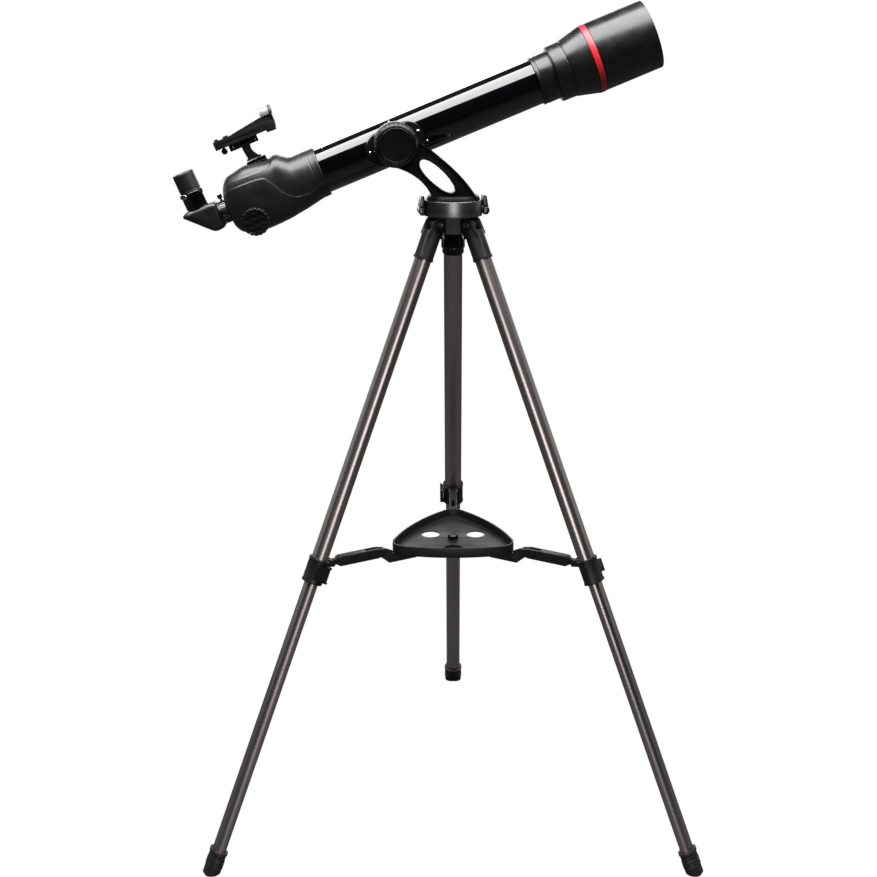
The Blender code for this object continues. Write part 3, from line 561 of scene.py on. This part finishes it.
def rounded_triangle(corner_at, corner_r, bulge, count=16):
    """Round corners towards the legs, and sides bowed out by arcs that touch them."""
    middle = corner_at / 2 + bulge
    back = (corner_at ** 2 - middle ** 2) / (2 * bulge)
    swing = math.degrees(math.atan2(corner_at * math.sin(math.radians(60)), corner_at / 2 + back))
    loop = []
    for azimuth in (90, 210, 330):
        corner, side = math.radians(azimuth), math.radians(azimuth + 60)
        loop += arc(corner_at * math.cos(corner), corner_at * math.sin(corner), corner_r,
                    azimuth - 60 + swing, azimuth + 60 - swing, count)
        loop += arc(-back * math.cos(side), -back * math.sin(side), middle + corner_r + back,
                    azimuth + 60 - swing, azimuth + 60 + swing, 14)[1:-1]
    return loop


def build_spreader():
    arm = [(20, 532.7), (20, 521), (40, 521), (81, 517), (133, 517), (152, 533), (152, 546), (140, 546),
           (126, 539), (124, 532.7)]
    arms = [(plate("arm", arm[::-1], -2.5, 2.5), upright(tipped(FLOOR, azimuth, "Z")))
            for azimuth in (90, 210, 330)]
    hub = worked(rod("hub", 30, 521, 532.7, 72), FLOOR, arms, [(rod("bore", 3.4, 525, 540), FLOOR)],
                 bevel=0.6)
    show("spreader_star", hub, FLOOR, "spreader", "matte_black", "matte", "spreader_hub")

    cups = [(rod("cup", 17, 520, 560, 72),
             moved(FLOOR, x=CUP_AT * math.cos(turn), y=CUP_AT * math.sin(turn)))
            for turn in (math.radians(30), math.radians(150), math.radians(270))]
    inner = rounded_triangle(TRAY_CORNER, 23.2, TRAY_BULGE)
    removed = [(plate("recess", inner, 537, 556), FLOOR),
               (plate("underside", inner, 528, 534.4, [circle(0, 0, 32)]), FLOOR),
               (rod("bore", 3.4, 520, 560), FLOOR), *cups]
    rim = rounded_triangle(TRAY_CORNER, 26, TRAY_BULGE)
    tray = worked(plate("tray", rim, 533, 551), FLOOR, removed=removed, bevel=0.8, sharp=50)
    show("tray_moulding", tray, FLOOR, "spreader", "satin_black", "grey", "accessory_tray")

    def lobes(angle, radius, height):
        return (0.45 * math.cos(12 * angle) if radius > 9 else 0, 0)
    knob = [(0, 545.0), (5.2, 545.0), (5.8, 546), (8, 546), (9.2, 544.5), (9.2, 537.3), (3, 537.3), (3, 527),
            (0, 527)]
    show("tray_thumb_knob", lathe("tray_thumb_knob", knob, 96, lobes), FLOOR, "tray_screw",
         "satin_black", "dark", "tray_knob")


# ---------------------------------------------------------------- arm and its knobs

def build_arm():
    outer = bezier((-70, 1265), (-37, 1238), (8, 1212), (39.5, 1160), 28)
    inner = bezier((-38, 1163), (-48, 1188), (-72, 1208), (-110, 1216), 24)
    shape = ([(-97, 1272)] + outer + [(41, 1159), (41, 1157.2), (-39, 1157.2)] + inner + [(-112, 1240)])[::-1]
    window = (bezier((-58, 1222), (-54, 1236), (-18, 1212), (0.5, 1180), 22)
              + bezier((0.5, 1180), (4.5, 1166), (-12, 1168), (-28, 1181), 18)
              + bezier((-28, 1181), (-44, 1193), (-62, 1212), (-58, 1222), 18))
    blade_at = upright(moved(TURNTABLE, y=-20))
    field = shifted(outer, -3.0) + shifted(inner, -3.0)
    rim = shifted(window, 3.0, closed=True)
    pockets = [(plate("field", field, low, low + 4, [rim]), blade_at) for low in (9.6, -13.6)]
    hub = along_y(moved(TURNTABLE, x=HUB.x, z=HUB.z))
    blade = worked(plate("arm_blade", shape, -11, 11, [window]), blade_at,
                   removed=pockets + [(rod("bore", 20, -60, 10), hub)], bevel=0.55, segments=2, sharp=40)
    show("arm_blade", blade, blade_at, "mount_arm", "satin_black", "mount", "fork_arm")
    boss = [(37.5, -6.7), (37.5, -31), (8.3, -31), (8.3, -6.7)]
    show("arm_boss", lathe("arm_boss", boss, 128, rounding=1.0), hub, "mount_arm", "satin_black", "mount")
    table = [(43, 1164), (46, 1157), (43.2, 1157), (43.2, 1133), (6, 1133), (6, 1078), (0, 1078)]
    show("arm_base", lathe("arm_base", [(0, 1164)] + table, 128, rounding=0.9), TURNTABLE, "mount_arm",
         "satin_black", "mount")

    def grip(angle, radius, height):
        return (0.9 * math.cos(10 * angle) - 0.9 if radius > 19 else 0, 0)
    knob = [(0, 1075.5), (6.4, 1075.5), (6.4, 1099.6), (17.5, 1099.6), (17.5, 1093), (20.5, 1091),
            (20.5, 1075), (18.5, 1073), (0, 1073)]
    show("azimuth_hand_knob", lathe("azimuth_hand_knob", knob, 160, grip, rounding=0.7), TURNTABLE,
         "azimuth_clamp", "satin_black", "dark", "azimuth_knob")


def build_altitude():
    def scallop(angle, radius, height):
        return (-0.55 * max(0.0, math.cos(30 * angle)) if radius > 35 and height > 32 else 0, 0)
    near = 31.3
    cap = [(0, near + 12.4), (25.5, near + 12.0), (27.6, near + 12.9), (28.9, near + 12.9),
           (29.4, near + 11.4), (30.6, near + 12.4), (33.5, near + 11), (36, near + 7), (36.5, near),
           (8.3, near), (8.3, near + 6), (0, near + 6)]
    hub = upright(moved(TURNTABLE, x=HUB.x, z=HUB.z))
    show("altitude_cap", lathe("altitude_cap", cap, 240, scallop, rounding=0.5), hub, "altitude_clamp",
         "satin_black", "dark", "altitude_knob")
    frame["nodes"]["altitude_axle"].data.materials[0] = LOOK["chrome"]
    shape = arc(24, 0, 27, -90, 90, 40) + arc(-24, 0, 27, 90, 270, 40)
    saddle = worked(plate("saddle", shape, -30, 6.4), upright(TUBE),
                    removed=[(rod("cradle", TUBE_R + 0.3, -80, 80, 128), along_x(OPTIC)),
                             (rod("bore", 8.3, -20, 4), along_y(TUBE))], bevel=1.2, sharp=40)
    show("saddle_casting", saddle, upright(TUBE), "optical_tube", "satin_black", "dark", "saddle_plate")
    for i, (s, n) in enumerate(((-44.5, 2), (43, 5))):
        show("saddle_screw_%d" % i, screw_mesh(3.0), upright(moved(TUBE, x=s, y=-6.3, z=n)), "optical_tube",
             "steel", "chrome")


def screw_mesh(radius):
    """A pan head with a cross slot, standing on local XY."""
    head = lathe("screw", [(0, 1.7), (radius * 0.7, 1.5), (radius, 0.5), (radius, -0.6), (0, -0.6)], 32,
                 rounding=0.3)
    identity = Matrix.Identity(4)
    slots = [(block("slot", radius * 1.3, 0.6, 1.6), moved(tipped(identity, turn, "Z"), z=1.9))
             for turn in (20, 110)]
    return worked(head, identity, removed=slots)


# ---------------------------------------------------------------- optical tube

def build_tube():
    lens_at = along_x(OPTIC)
    wall = [(TUBE_R, 289), (TUBE_R, -150), (TUBE_R - 1.4, -150), (TUBE_R - 1.4, 289)]
    show("painted_tube", lathe("painted_tube", wall, 200, rounding=0.3), lens_at, "optical_tube",
         "gloss_black", "gloss", "main_tube")
    cell = [(41, 312), (41, 270), (40.3, 269.4), (40.3, 267.6), (41, 267), (41, 263), (TUBE_R + 0.3, 263),
            (TUBE_R + 0.3, 290), (33, 290), (33, 292.5), (35.6, 292.5), (35.6, 312)]
    show("lens_cell", lathe("lens_cell", cell, 160, rounding=0.5), lens_at, "optical_tube",
         "satin_black", "satin", "objective_cell")
    front = [(35.3 * t, 309 - 2 * t * t) for t in (0, 0.2, 0.4, 0.6, 0.8, 1)]
    back = [(35.3 * t, 300.6 + 1.2 * t * t) for t in (1, 0.8, 0.6, 0.4, 0.2, 0)]
    show("front_lens", lathe("front_lens", front + back, 96, rounding=0), lens_at, "optical_tube",
         "lens_glass", "lens", "crown_lens")
    frame["nodes"]["flint_lens"].data.materials[0] = LOOK["lens"]
    ring = [(35.3, 311.5), (35.3, 307.4), (32.5, 307.6), (32.5, 311.5)]
    show("retaining_ring", lathe("retaining_ring", ring, 128, rounding=0.4), lens_at, "optical_tube",
         "matte_black", "matte", "lens_ring")
    for i, (s, angle, radius) in enumerate(((3.7, 67, TUBE_R), (-119, 79, TUBE_R), (-138, -26, 40.4),
                                            (52.5, -27, TUBE_R))):
        at = tipped(moved(OPTIC, x=s), 90 - angle, "X")
        show("tube_screw_%d" % i, screw_mesh(2.2), moved(at, z=radius), "optical_tube", "steel", "chrome")


def build_hood():
    outside = [(58.6, 473), (58.6, 370.6), (57.5, 370), (57.5, 359.5), (58.4, 359.0), (48.7, 320.4),
               (47.5, 319.8), (47.5, 318.9), (48.0, 318.3), (47.8, 297), (46.5, 294.3)]
    threads = []
    for i in range(24):
        s = 374 + 4 * i
        threads += [(56.4, s), (55.9, s + 2)]
    inside = ([(41.3, 294.3), (41.3, 313), (45, 319), (55.4, 359), (56.4, 370)] + threads
              + [(56.6, 470), (56.9, 473)])
    data = lathe("hood_moulding", outside + inside, 200, rounding=0.35)
    show("hood_moulding", data, along_x(OPTIC), "hood", "satin_black", "satin", "dew_shield")
    data.materials.append(LOOK["flock"])    # on the faces that look inward, short of the rim
    for face in data.polygons:
        c = face.center / MM
        radius = math.hypot(c.x, c.y)
        if radius < 57.2 and face.normal.dot(Vector((c.x, c.y, 0))) < 0 and 313 < c.z < 470:
            face.material_index = 1
    band = [(59.0, 369.7), (59.2, 367), (59.2, 362), (59.0, 359.8), (57.8, 359.8), (57.8, 369.7)]
    show("red_band", lathe("red_band", band, 200, rounding=0.3), along_x(OPTIC), "hood", "red_trim", "red",
         "trim_ring")


# housing sections: distance along the tube, top, bottom, half width, squareness
HOUSING = (
    (-133, 40.3, -40.3, 40.3, 2.0), (-149, 40.5, -41, 40.5, 2.0), (-163, 40.4, -43.5, 41, 2.1),
    (-177, 41.2, -46, 41.4, 2.3), (-188, 48, -47.5, 41.8, 2.5), (-199, 54.5, -49, 42, 2.6),
    (-215, 52.2, -51, 42, 2.8), (-250, 57.4, -52.5, 42, 2.8), (-273, 54, -50.5, 40.5, 2.8),
    (-289, 49.5, -46, 36.5, 2.6), (-299, 38, -40, 32, 2.5), (-304.5, 24, -30, 26, 2.4),
)
TOP_LINE = ((-300, 22), (-291, 38), (-277, 43.1), (-218, 40.9), (-204, 50.8), (-201, 62))
SIDE_LINE = ((-302, 8), (-298, 22), (-291, 31.3), (-236, 30.6), (-221, 20), (-205, -6.5), (-197, -14),
             (-186, -20.6), (-166, -22.4), (-151, -18.4), (-141, -14.5))


def smoothed(rows, steps):
    """Rows of numbers, with a smooth curve through them that stays between neighbours."""
    result = []
    for i in range(len(rows) - 1):
        a, b = rows[i], rows[i + 1]
        before, after = rows[max(i - 1, 0)], rows[min(i + 2, len(rows) - 1)]
        for k in range(steps):
            t = k / steps
            row = []
            for p, q, r, s in zip(before, a, b, after):
                left = (r - p) / 2
                right = (s - q) / 2
                row.append((2 * t ** 3 - 3 * t * t + 1) * q + (t ** 3 - 2 * t * t + t) * left
                           + (-2 * t ** 3 + 3 * t * t) * r + (t ** 3 - t * t) * right)
            result.append(row)
    return result + [list(rows[-1])]


def above(line, s, n):
    """How far a point lies above a line drawn from rear to front, in mm: negative below it."""
    nearest, sign = 1e9, 1.0
    here = Vector((s, n))
    for a, b in zip(line, line[1:]):
        a, b = Vector(a), Vector(b)
        run = b - a
        t = min(max((here - a).dot(run) / run.length_squared, 0), 1)
        gap = here - (a + run * t)
        if gap.length < nearest:
            nearest = gap.length
            sign = 1.0 if run.x * (here.y - a.y) - run.y * (here.x - a.x) > 0 else -1.0
    return nearest * sign


def housing_skin(name, sign, around=150, seam=0.12):
    """One shell's outer surface: squared half ovals, with the panels' steps and grooves cut in."""
    top_line, side_line = smoothed(TOP_LINE, 5), smoothed(SIDE_LINE, 5)
    turns = [-math.pi / 2 + math.pi * k / around for k in range(around + 1)]
    bm = bmesh.new()
    rings = []
    for s, top, bottom, half, power in smoothed(HOUSING, 15):
        ring = []
        for turn in turns:
            c, n = math.cos(turn), math.sin(turn)
            across = half * abs(c) ** (2 / power)
            up = (top + bottom) / 2 + (top - bottom) / 2 * math.copysign(abs(n) ** (2 / power), n)
            fade = step(-137 - s, 6) * min(across / 14, 1)
            low, high = above(side_line, s, up), above(top_line, s, up)
            depth = fade * (1.1 * step(low, 1.1) + 1.0 * step(high, 1.1)
                            - 0.45 * math.exp(-(low / 0.9) ** 2) - 0.45 * math.exp(-(high / 0.9) ** 2))
            depth += 0.7 * math.exp(-((s + 146.5) / 0.7) ** 2)
            ring.append(bm.verts.new(Vector((s, sign * max(across - depth, seam), up)) * MM))
        rings.append(ring)
    for s, radius in ((-305.3, 20.5), (-305.3, 18.6), (-302.5, 18.4)):
        mouth = [Vector((s, sign * max(radius * math.cos(turn), seam), radius * math.sin(turn)))
                 for turn in turns]
        rings.append([bm.verts.new(point * MM) for point in mouth])
    for a, b in zip(rings, rings[1:]):
        for k in range(around):
            quad = (a[k], a[k + 1], b[k + 1], b[k])
            bm.faces.new(quad if sign > 0 else quad[::-1])
    data = bpy.data.meshes.new(name)
    bm.to_mesh(data)
    bm.free()
    return data


def build_housing():
    for side, sign in (("near", -1), ("far", 1)):
        name = "housing_shell_" + side
        skin = linked("skin", housing_skin(name, sign))
        wall = skin.modifiers.new("wall", "SOLIDIFY")
        wall.thickness, wall.offset = 2.0 * MM, -1
        show(name, shade(baked(skin), 50), OPTIC, "optical_tube", "satin_black", "shell",
             "housing_" + side)
    collar = [(40.9, -132.6), (40.9, -137.4), (TUBE_R + 0.2, -137.4), (TUBE_R + 0.2, -132.6)]
    show("housing_lip", lathe("housing_lip", collar, 160, rounding=0.6), along_x(OPTIC), "optical_tube",
         "satin_black", "shell")
    shoe = [(-246, 57.6), (-215, 53.0), (-211, 53.6), (-211, 63.2), (-246, 62.4)]
    grooves = [(block("dovetail", 60, 3, 3), moved(OPTIC, x=-228, y=y, z=58.6)) for y in (-9.5, 9.5)]
    rail = worked(plate("finder_rail", shoe, -9, 9), upright(OPTIC), removed=grooves, bevel=0.6)
    show("finder_rail", rail, upright(OPTIC), "optical_tube", "matte_black", "dark", "finder_shoe")


# ---------------------------------------------------------------- focuser

def build_focuser():
    for node in ("drawtube", "focus_shaft"):
        frame["nodes"][node].data.materials[0] = LOOK["silver"]

    def ridges(angle, radius, height):
        return (-1.3 * step(math.cos(26 * angle), 0.5) if radius > 19 and -317.8 < height < -308 else 0, 0)
    ring = [(19.0, -306.3), (19.0, -307.4), (19.6, -308.2), (19.6, -317.6), (19.0, -318.2), (19.0, -319),
            (16, -319), (16, -306.3)]
    screw_at = moved(OPTIC, x=-312.6)
    ring_mesh = worked(lathe("knurled_ring", ring, 416, ridges, rounding=0.15), along_x(OPTIC),
                       removed=[(rod("hole", 2.3, 10, 26), screw_at)])
    show("knurled_ring", ring_mesh, along_x(OPTIC), "focuser", "silver", "silver", "clamp_ring")
    screw = [(0, 31), (3.6, 31), (4.2, 30), (4.2, 24), (2, 24), (2, 16.6), (0, 16.6)]
    show("clamp_thumb_screw", lathe("clamp_thumb_screw", screw, 144, knurl(18, 0.35, 4), rounding=0.3),
         screw_at, "draw_clamp", "steel", "silver", "clamp_screw")

    shaft = axes(place_of("focus_shaft_turn"), TUBE.to_3x3().col[0], ACROSS)

    def grip(angle, radius, height):
        if radius > 21:
            return (-1.3 * max(0.0, math.cos(18 * angle)) ** 2, 0)
        if 0.5 < radius < 19.5 and height > -1.5:
            x, y = radius * math.cos(angle), radius * math.sin(angle)
            return (0, -0.5 + 0.35 * math.sin(math.tau * (y / 11 + 0.16 * math.sin(math.tau * x / 13))))
        return (0, 0)
    face = ([(0, -0.1)] + [(float(r), -0.1) for r in range(1, 20)]
            + [(20.2, 0), (22, 0), (23.8, -2.5), (23.8, -12), (20, -13), (19, -16.6), (3.3, -16.6), (3.3, -4),
               (0, -4)])
    near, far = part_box("focus_knob_near"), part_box("focus_knob_far")
    for side, node_box, outward in (("near", near, -1), ("far", far, 1)):
        centre = shaft.inverted() @ ((node_box[0] + node_box[1]) / 2)
        outer = centre.y / MM + outward * 8.3
        at = moved(shaft, y=outer)
        at = upright(at) if outward < 0 else along_y(at)
        show("focus_wheel_" + side, lathe("focus_wheel_" + side, face, 264, grip, rounding=0), at,
             "focus_drive", "satin_black", "wheel", "focus_knob_" + side)


def build_diagonal():
    body = [(-321, 22.5), (-334, 24.8), (-374, 24.8), (-386, 19.5), (-342, -24.5), (-321, -23)]
    inside = [(-326, 14), (-376, 14), (-346, -16), (-326, -16)]
    socket = moved(OPTIC, x=DIAGONAL_S)
    housing = worked(pillow("diagonal_body", body, 21, 9, 7), upright(OPTIC),
                     removed=[(plate("cavity", inside[::-1], -12, 12), upright(OPTIC)),
                              (rod("nose_bore", 13.6, -330, -300), along_x(OPTIC)),
                              (rod("top_bore", 13.6, 10, 40), socket)])
    show("diagonal_body", housing, upright(OPTIC), "diagonal", "satin_black", "shell", "diagonal_housing")
    nose = [(15.6, -321.5), (15.6, -300), (15.2, -299.2), (15.2, -297.4), (15.6, -296.8), (15.6, -292),
            (13.8, -292), (13.8, -321.5)]
    show("diagonal_nose", lathe("diagonal_nose", nose, 96, rounding=0.3), along_x(OPTIC), "diagonal",
         "steel", "chrome")
    flange = [(20.6, -319.8), (20.6, -322.5), (14, -322.5), (14, -319.8)]
    show("diagonal_flange", lathe("diagonal_flange", flange, 128, rounding=0.5), along_x(OPTIC),
         "diagonal", "satin_black", "dark")
    frame["nodes"]["diagonal_mirror"].data.materials[0] = LOOK["mirror"]

    holder = [(20.2, 53.5), (21, 52.7), (21, 47), (19.3, 46), (19.3, 26.4), (18.6, 25.1), (13.8, 25.1),
              (13.8, 29), (16.2, 29), (16.2, 53.5)]
    screw_at = axes(place_of("eyepiece_screw_turn"), socket.to_3x3().col[2],
                    axis_of("eyepiece_screw_turn").cross(socket.to_3x3().col[2]))
    barrel = worked(lathe("eyepiece_socket", holder, 144, rounding=0.4), socket,
                    removed=[(rod("hole", 2.1, 10, 30), screw_at)])
    show("eyepiece_socket", barrel, socket, "diagonal", "satin_black", "gloss", "eyepiece_holder")
    screw = [(0, 28.5), (3.4, 28.5), (4, 27.8), (4, 22.2), (1.8, 22.2), (1.8, 16.6), (0, 16.6)]
    show("eyepiece_thumb_screw",
         lathe("eyepiece_thumb_screw", screw, 160, knurl(20, 0.3, 3.7), rounding=0.3), screw_at,
         "eyepiece_clamp", "steel", "chrome", "eyepiece_screw")

    def ribs(angle, radius, height):
        return (-0.35 * max(0.0, math.cos(40 * angle)) if radius > 18 and 62 < height < 82 else 0, 0)
    eyepiece = [(17.3, 87.3), (18.5, 86.3), (18.5, 82.5), (18.5, 61.5), (18.5, 57.5), (18.1, 57),
                (18.1, 56.2), (18.5, 55.7), (18.5, 53.9), (15.9, 53.9), (15.9, 31), (13.5, 31),
                (13.5, 80), (9, 80), (9, 84), (12, 87.3)]
    show("eyepiece_body", lathe("eyepiece_body", eyepiece, 240, ribs, rounding=0.3), socket, "eyepiece",
         "satin_black", "rubber", "eyepiece_barrel")
    frame["nodes"]["eye_lens"].data.materials[0] = LOOK["lens"]


# ---------------------------------------------------------------- finder

def build_finder():
    stand = [(-244, 63.5), (-218, 63.5), (-218, 66.5), (-222, 67), (-227, 75), (-229, 82), (-228, 88.5),
             (-211.5, 88.5), (-211.5, 98.7), (-263, 98.7), (-263, 88.5), (-243, 88.5), (-243, 82), (-242, 74),
             (-241, 67), (-244, 66.5)]
    bracket = worked(plate("finder_stand", stand, -6.5, 6.5), upright(OPTIC), bevel=0.7)
    show("finder_stand", bracket, upright(OPTIC), "optical_tube", "satin_black", "satin", "finder_bracket")
    body = [(-285, 99.2), (-193, 99.2), (-193, 95.5), (-177, 94.5), (-173.5, 108), (-173.5, 122), (-197, 122),
            (-257, 113.5), (-285, 113.5)]
    lean = tipped(moved(OPTIC, x=-175, z=122.5), 6, "Y")
    joined = [(plate("hoop", circle(0, 0, 13.5, 72), -2, 2, [circle(0, 0, 11, 72)]), along_x(lean)),
              (block("rear_bump", 7, 9, 4), moved(OPTIC, x=-279, z=114.5)),
              (block("rear_notch", 9, 8, 3.4), moved(OPTIC, x=-262, z=114.6)),
              (rod("battery_cap", 8.5, -12.4, 12.4), along_y(moved(OPTIC, x=-183, z=104)))]
    removed = [(block("side_recess", 56, 2, 5), moved(OPTIC, x=-236, y=y, z=104.5)) for y in (-11.3, 11.3)]
    sight = worked(plate("finder_case", body, -11, 11), upright(OPTIC), joined, removed, bevel=0.5)
    show("finder_case", sight, upright(OPTIC), "optical_tube", "matte_black", "matte", "finder_body")
    slope = [(-40, -20), (-40, 30), (-21, 30), (-18, 0), (-18, -20)]
    glass_tube = worked(rod("sight_window", 12.5, -20, -2.5, 72), along_x(lean),
                        removed=[(rod("bore", 11, -30, 10, 72), along_x(lean)),
                                 (block("foot", 80, 60, 40), moved(OPTIC, x=-190, z=102.3)),
                                 (plate("slope", slope, -30, 30), upright(lean))])
    show("sight_window", glass_tube, along_x(lean), "optical_tube", "clear_plastic", "window",
         "finder_window")
    dial_at = axes(place_of("finder_dial_turn"), TUBE.to_3x3().col[0], ACROSS)
    dial = [(0, 7), (4.6, 7), (5.4, 6.4), (5.4, -6.4), (4.6, -7), (0, -7)]
    show("finder_wheel", lathe("finder_wheel", dial, 128, knurl(16, 0.4, 5), rounding=0.2),
         along_y(dial_at), "finder_adjuster", "matte_black", "dark", "finder_dial")
    for i, s in enumerate((-257, -217)):
        show("finder_screw_%d" % i, screw_mesh(2.3), upright(moved(OPTIC, x=s, y=-6.4, z=93.5)),
             "optical_tube", "steel", "chrome")


# ---------------------------------------------------------------- studio
# in metres, from the floor under the head; the aim is the point that a light faces

PAPER = 1.0                  # how bright the backdrop is
FLOOR_R = 9.0
CAMERA_AT = (0, -2.337, 1.444)
CAMERA_DOWN = 17             # degrees below level
CAMERA_LENS, CAMERA_SENSOR = 55.8, 36    # mm
CAMERA_SHIFT = -0.0166       # part of the picture's width

def area_light(name, at, size, aim, watts):
    lamp = bpy.data.lights.new(name, "AREA")
    lamp.shape = "RECTANGLE"
    lamp.size, lamp.size_y = size
    lamp.energy = watts
    light = linked(name, lamp)
    light.location = FLOOR.translation + Vector(at)
    light.rotation_euler = (Vector(aim) - Vector(at)).to_track_quat("-Z", "Y").to_euler()
    return light


def build_world():
    """White to the camera. To the object, a dark room that is brighter behind it and low down."""
    scene = bpy.context.scene
    scene.view_settings.view_transform = "Standard"
    scene.world = bpy.data.worlds.new("studio")
    scene.world.use_nodes = True
    nodes, links = scene.world.node_tree.nodes, scene.world.node_tree.links
    nodes.clear()
    output, seen = nodes.new("ShaderNodeOutputWorld"), nodes.new("ShaderNodeLightPath")
    room, paper = nodes.new("ShaderNodeBackground"), nodes.new("ShaderNodeBackground")
    mix, both = nodes.new("ShaderNodeMixShader"), nodes.new("ShaderNodeMath")
    ways, split = nodes.new("ShaderNodeTexCoord"), nodes.new("ShaderNodeSeparateXYZ")
    both.operation = "MULTIPLY"
    links.new(ways.outputs["Generated"], split.inputs["Vector"])
    behind = link_range(nodes, links, split.outputs["Y"], 0.02, 0.9, start=0.0, end=0.5)
    low = link_range(nodes, links, split.outputs["Z"], 0.05, 1.0, start=0.3, end=0.1)
    links.new(behind, both.inputs[0])
    links.new(low, both.inputs[1])
    links.new(both.outputs["Value"], room.inputs["Strength"])
    paper.inputs["Color"].default_value = (1, 1, 1, 1)
    paper.inputs["Strength"].default_value = PAPER
    links.new(seen.outputs["Is Camera Ray"], mix.inputs["Fac"])
    links.new(room.outputs["Background"], mix.inputs[1])
    links.new(paper.outputs["Background"], mix.inputs[2])
    links.new(mix.outputs["Shader"], output.inputs["Surface"])


def build_floor():
    """A wide dark disc. The camera doesn't see it, so feet that fold below its level stay in view."""
    bm = bmesh.new()
    bmesh.ops.create_circle(bm, cap_ends=True, segments=96, radius=FLOOR_R)
    floor = linked("floor", to_mesh("floor", bm))
    floor.location.z = -0.5 * MM
    floor.visible_camera = False
    material = bpy.data.materials.new("dark_floor")
    material.use_nodes = True
    shader = material.node_tree.nodes["Principled BSDF"]
    shader.inputs["Base Color"].default_value = (0.07, 0.07, 0.07, 1)
    shader.inputs["Roughness"].default_value = 0.9
    shader.inputs["Specular IOR Level"].default_value = 0.0
    floor.data.materials.append(material)
    floor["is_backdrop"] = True


def build_lights():
    """A broad one overhead, a weak one behind, and one in front, which is returned."""
    area_light("overhead", at=(0.0, -0.36, 2.9), size=(3.8, 1.72), aim=(0, -0.36, 0), watts=255)
    area_light("rear_fill", at=(0.0, 2.6, 1.6), size=(3.0, 1.2), aim=(0, 0, 1.0), watts=32)
    return area_light("front_strip", at=(0.15, -3.3, 1.0), size=(1.5, 1.5), aim=(0, 0, 0.9), watts=34)


def light_only(light, pieces):
    """Keep a light off everything but these pieces, so that the gloss tube stays dark beside its band."""
    lit = bpy.data.collections.new(light.name + "_pieces")
    for piece in pieces:
        lit.objects.link(piece)
    light.light_linking.receiver_collection = lit


def build_camera():
    camera = linked("camera", bpy.data.cameras.new("camera"))
    camera.location = FLOOR.translation + Vector(CAMERA_AT)
    camera.rotation_euler = (math.radians(90 - CAMERA_DOWN), 0, 0)
    camera.data.sensor_width = CAMERA_SENSOR
    camera.data.lens = CAMERA_LENS
    camera.data.shift_x = CAMERA_SHIFT
    bpy.context.scene.camera = camera


build_camera()
build_world()
build_floor()
front_strip = build_lights()
build_head()
for leg_side in SIDES:
    build_leg(leg_side)
build_spreader()
# the tripod's pieces, which are all that are made so far, and the CAD nodes that still show
light_only(front_strip, [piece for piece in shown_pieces() if not piece.name.startswith("rear")])
build_arm()
build_altitude()
build_tube()
build_hood()
build_housing()
build_focuser()
build_diagonal()
build_finder()
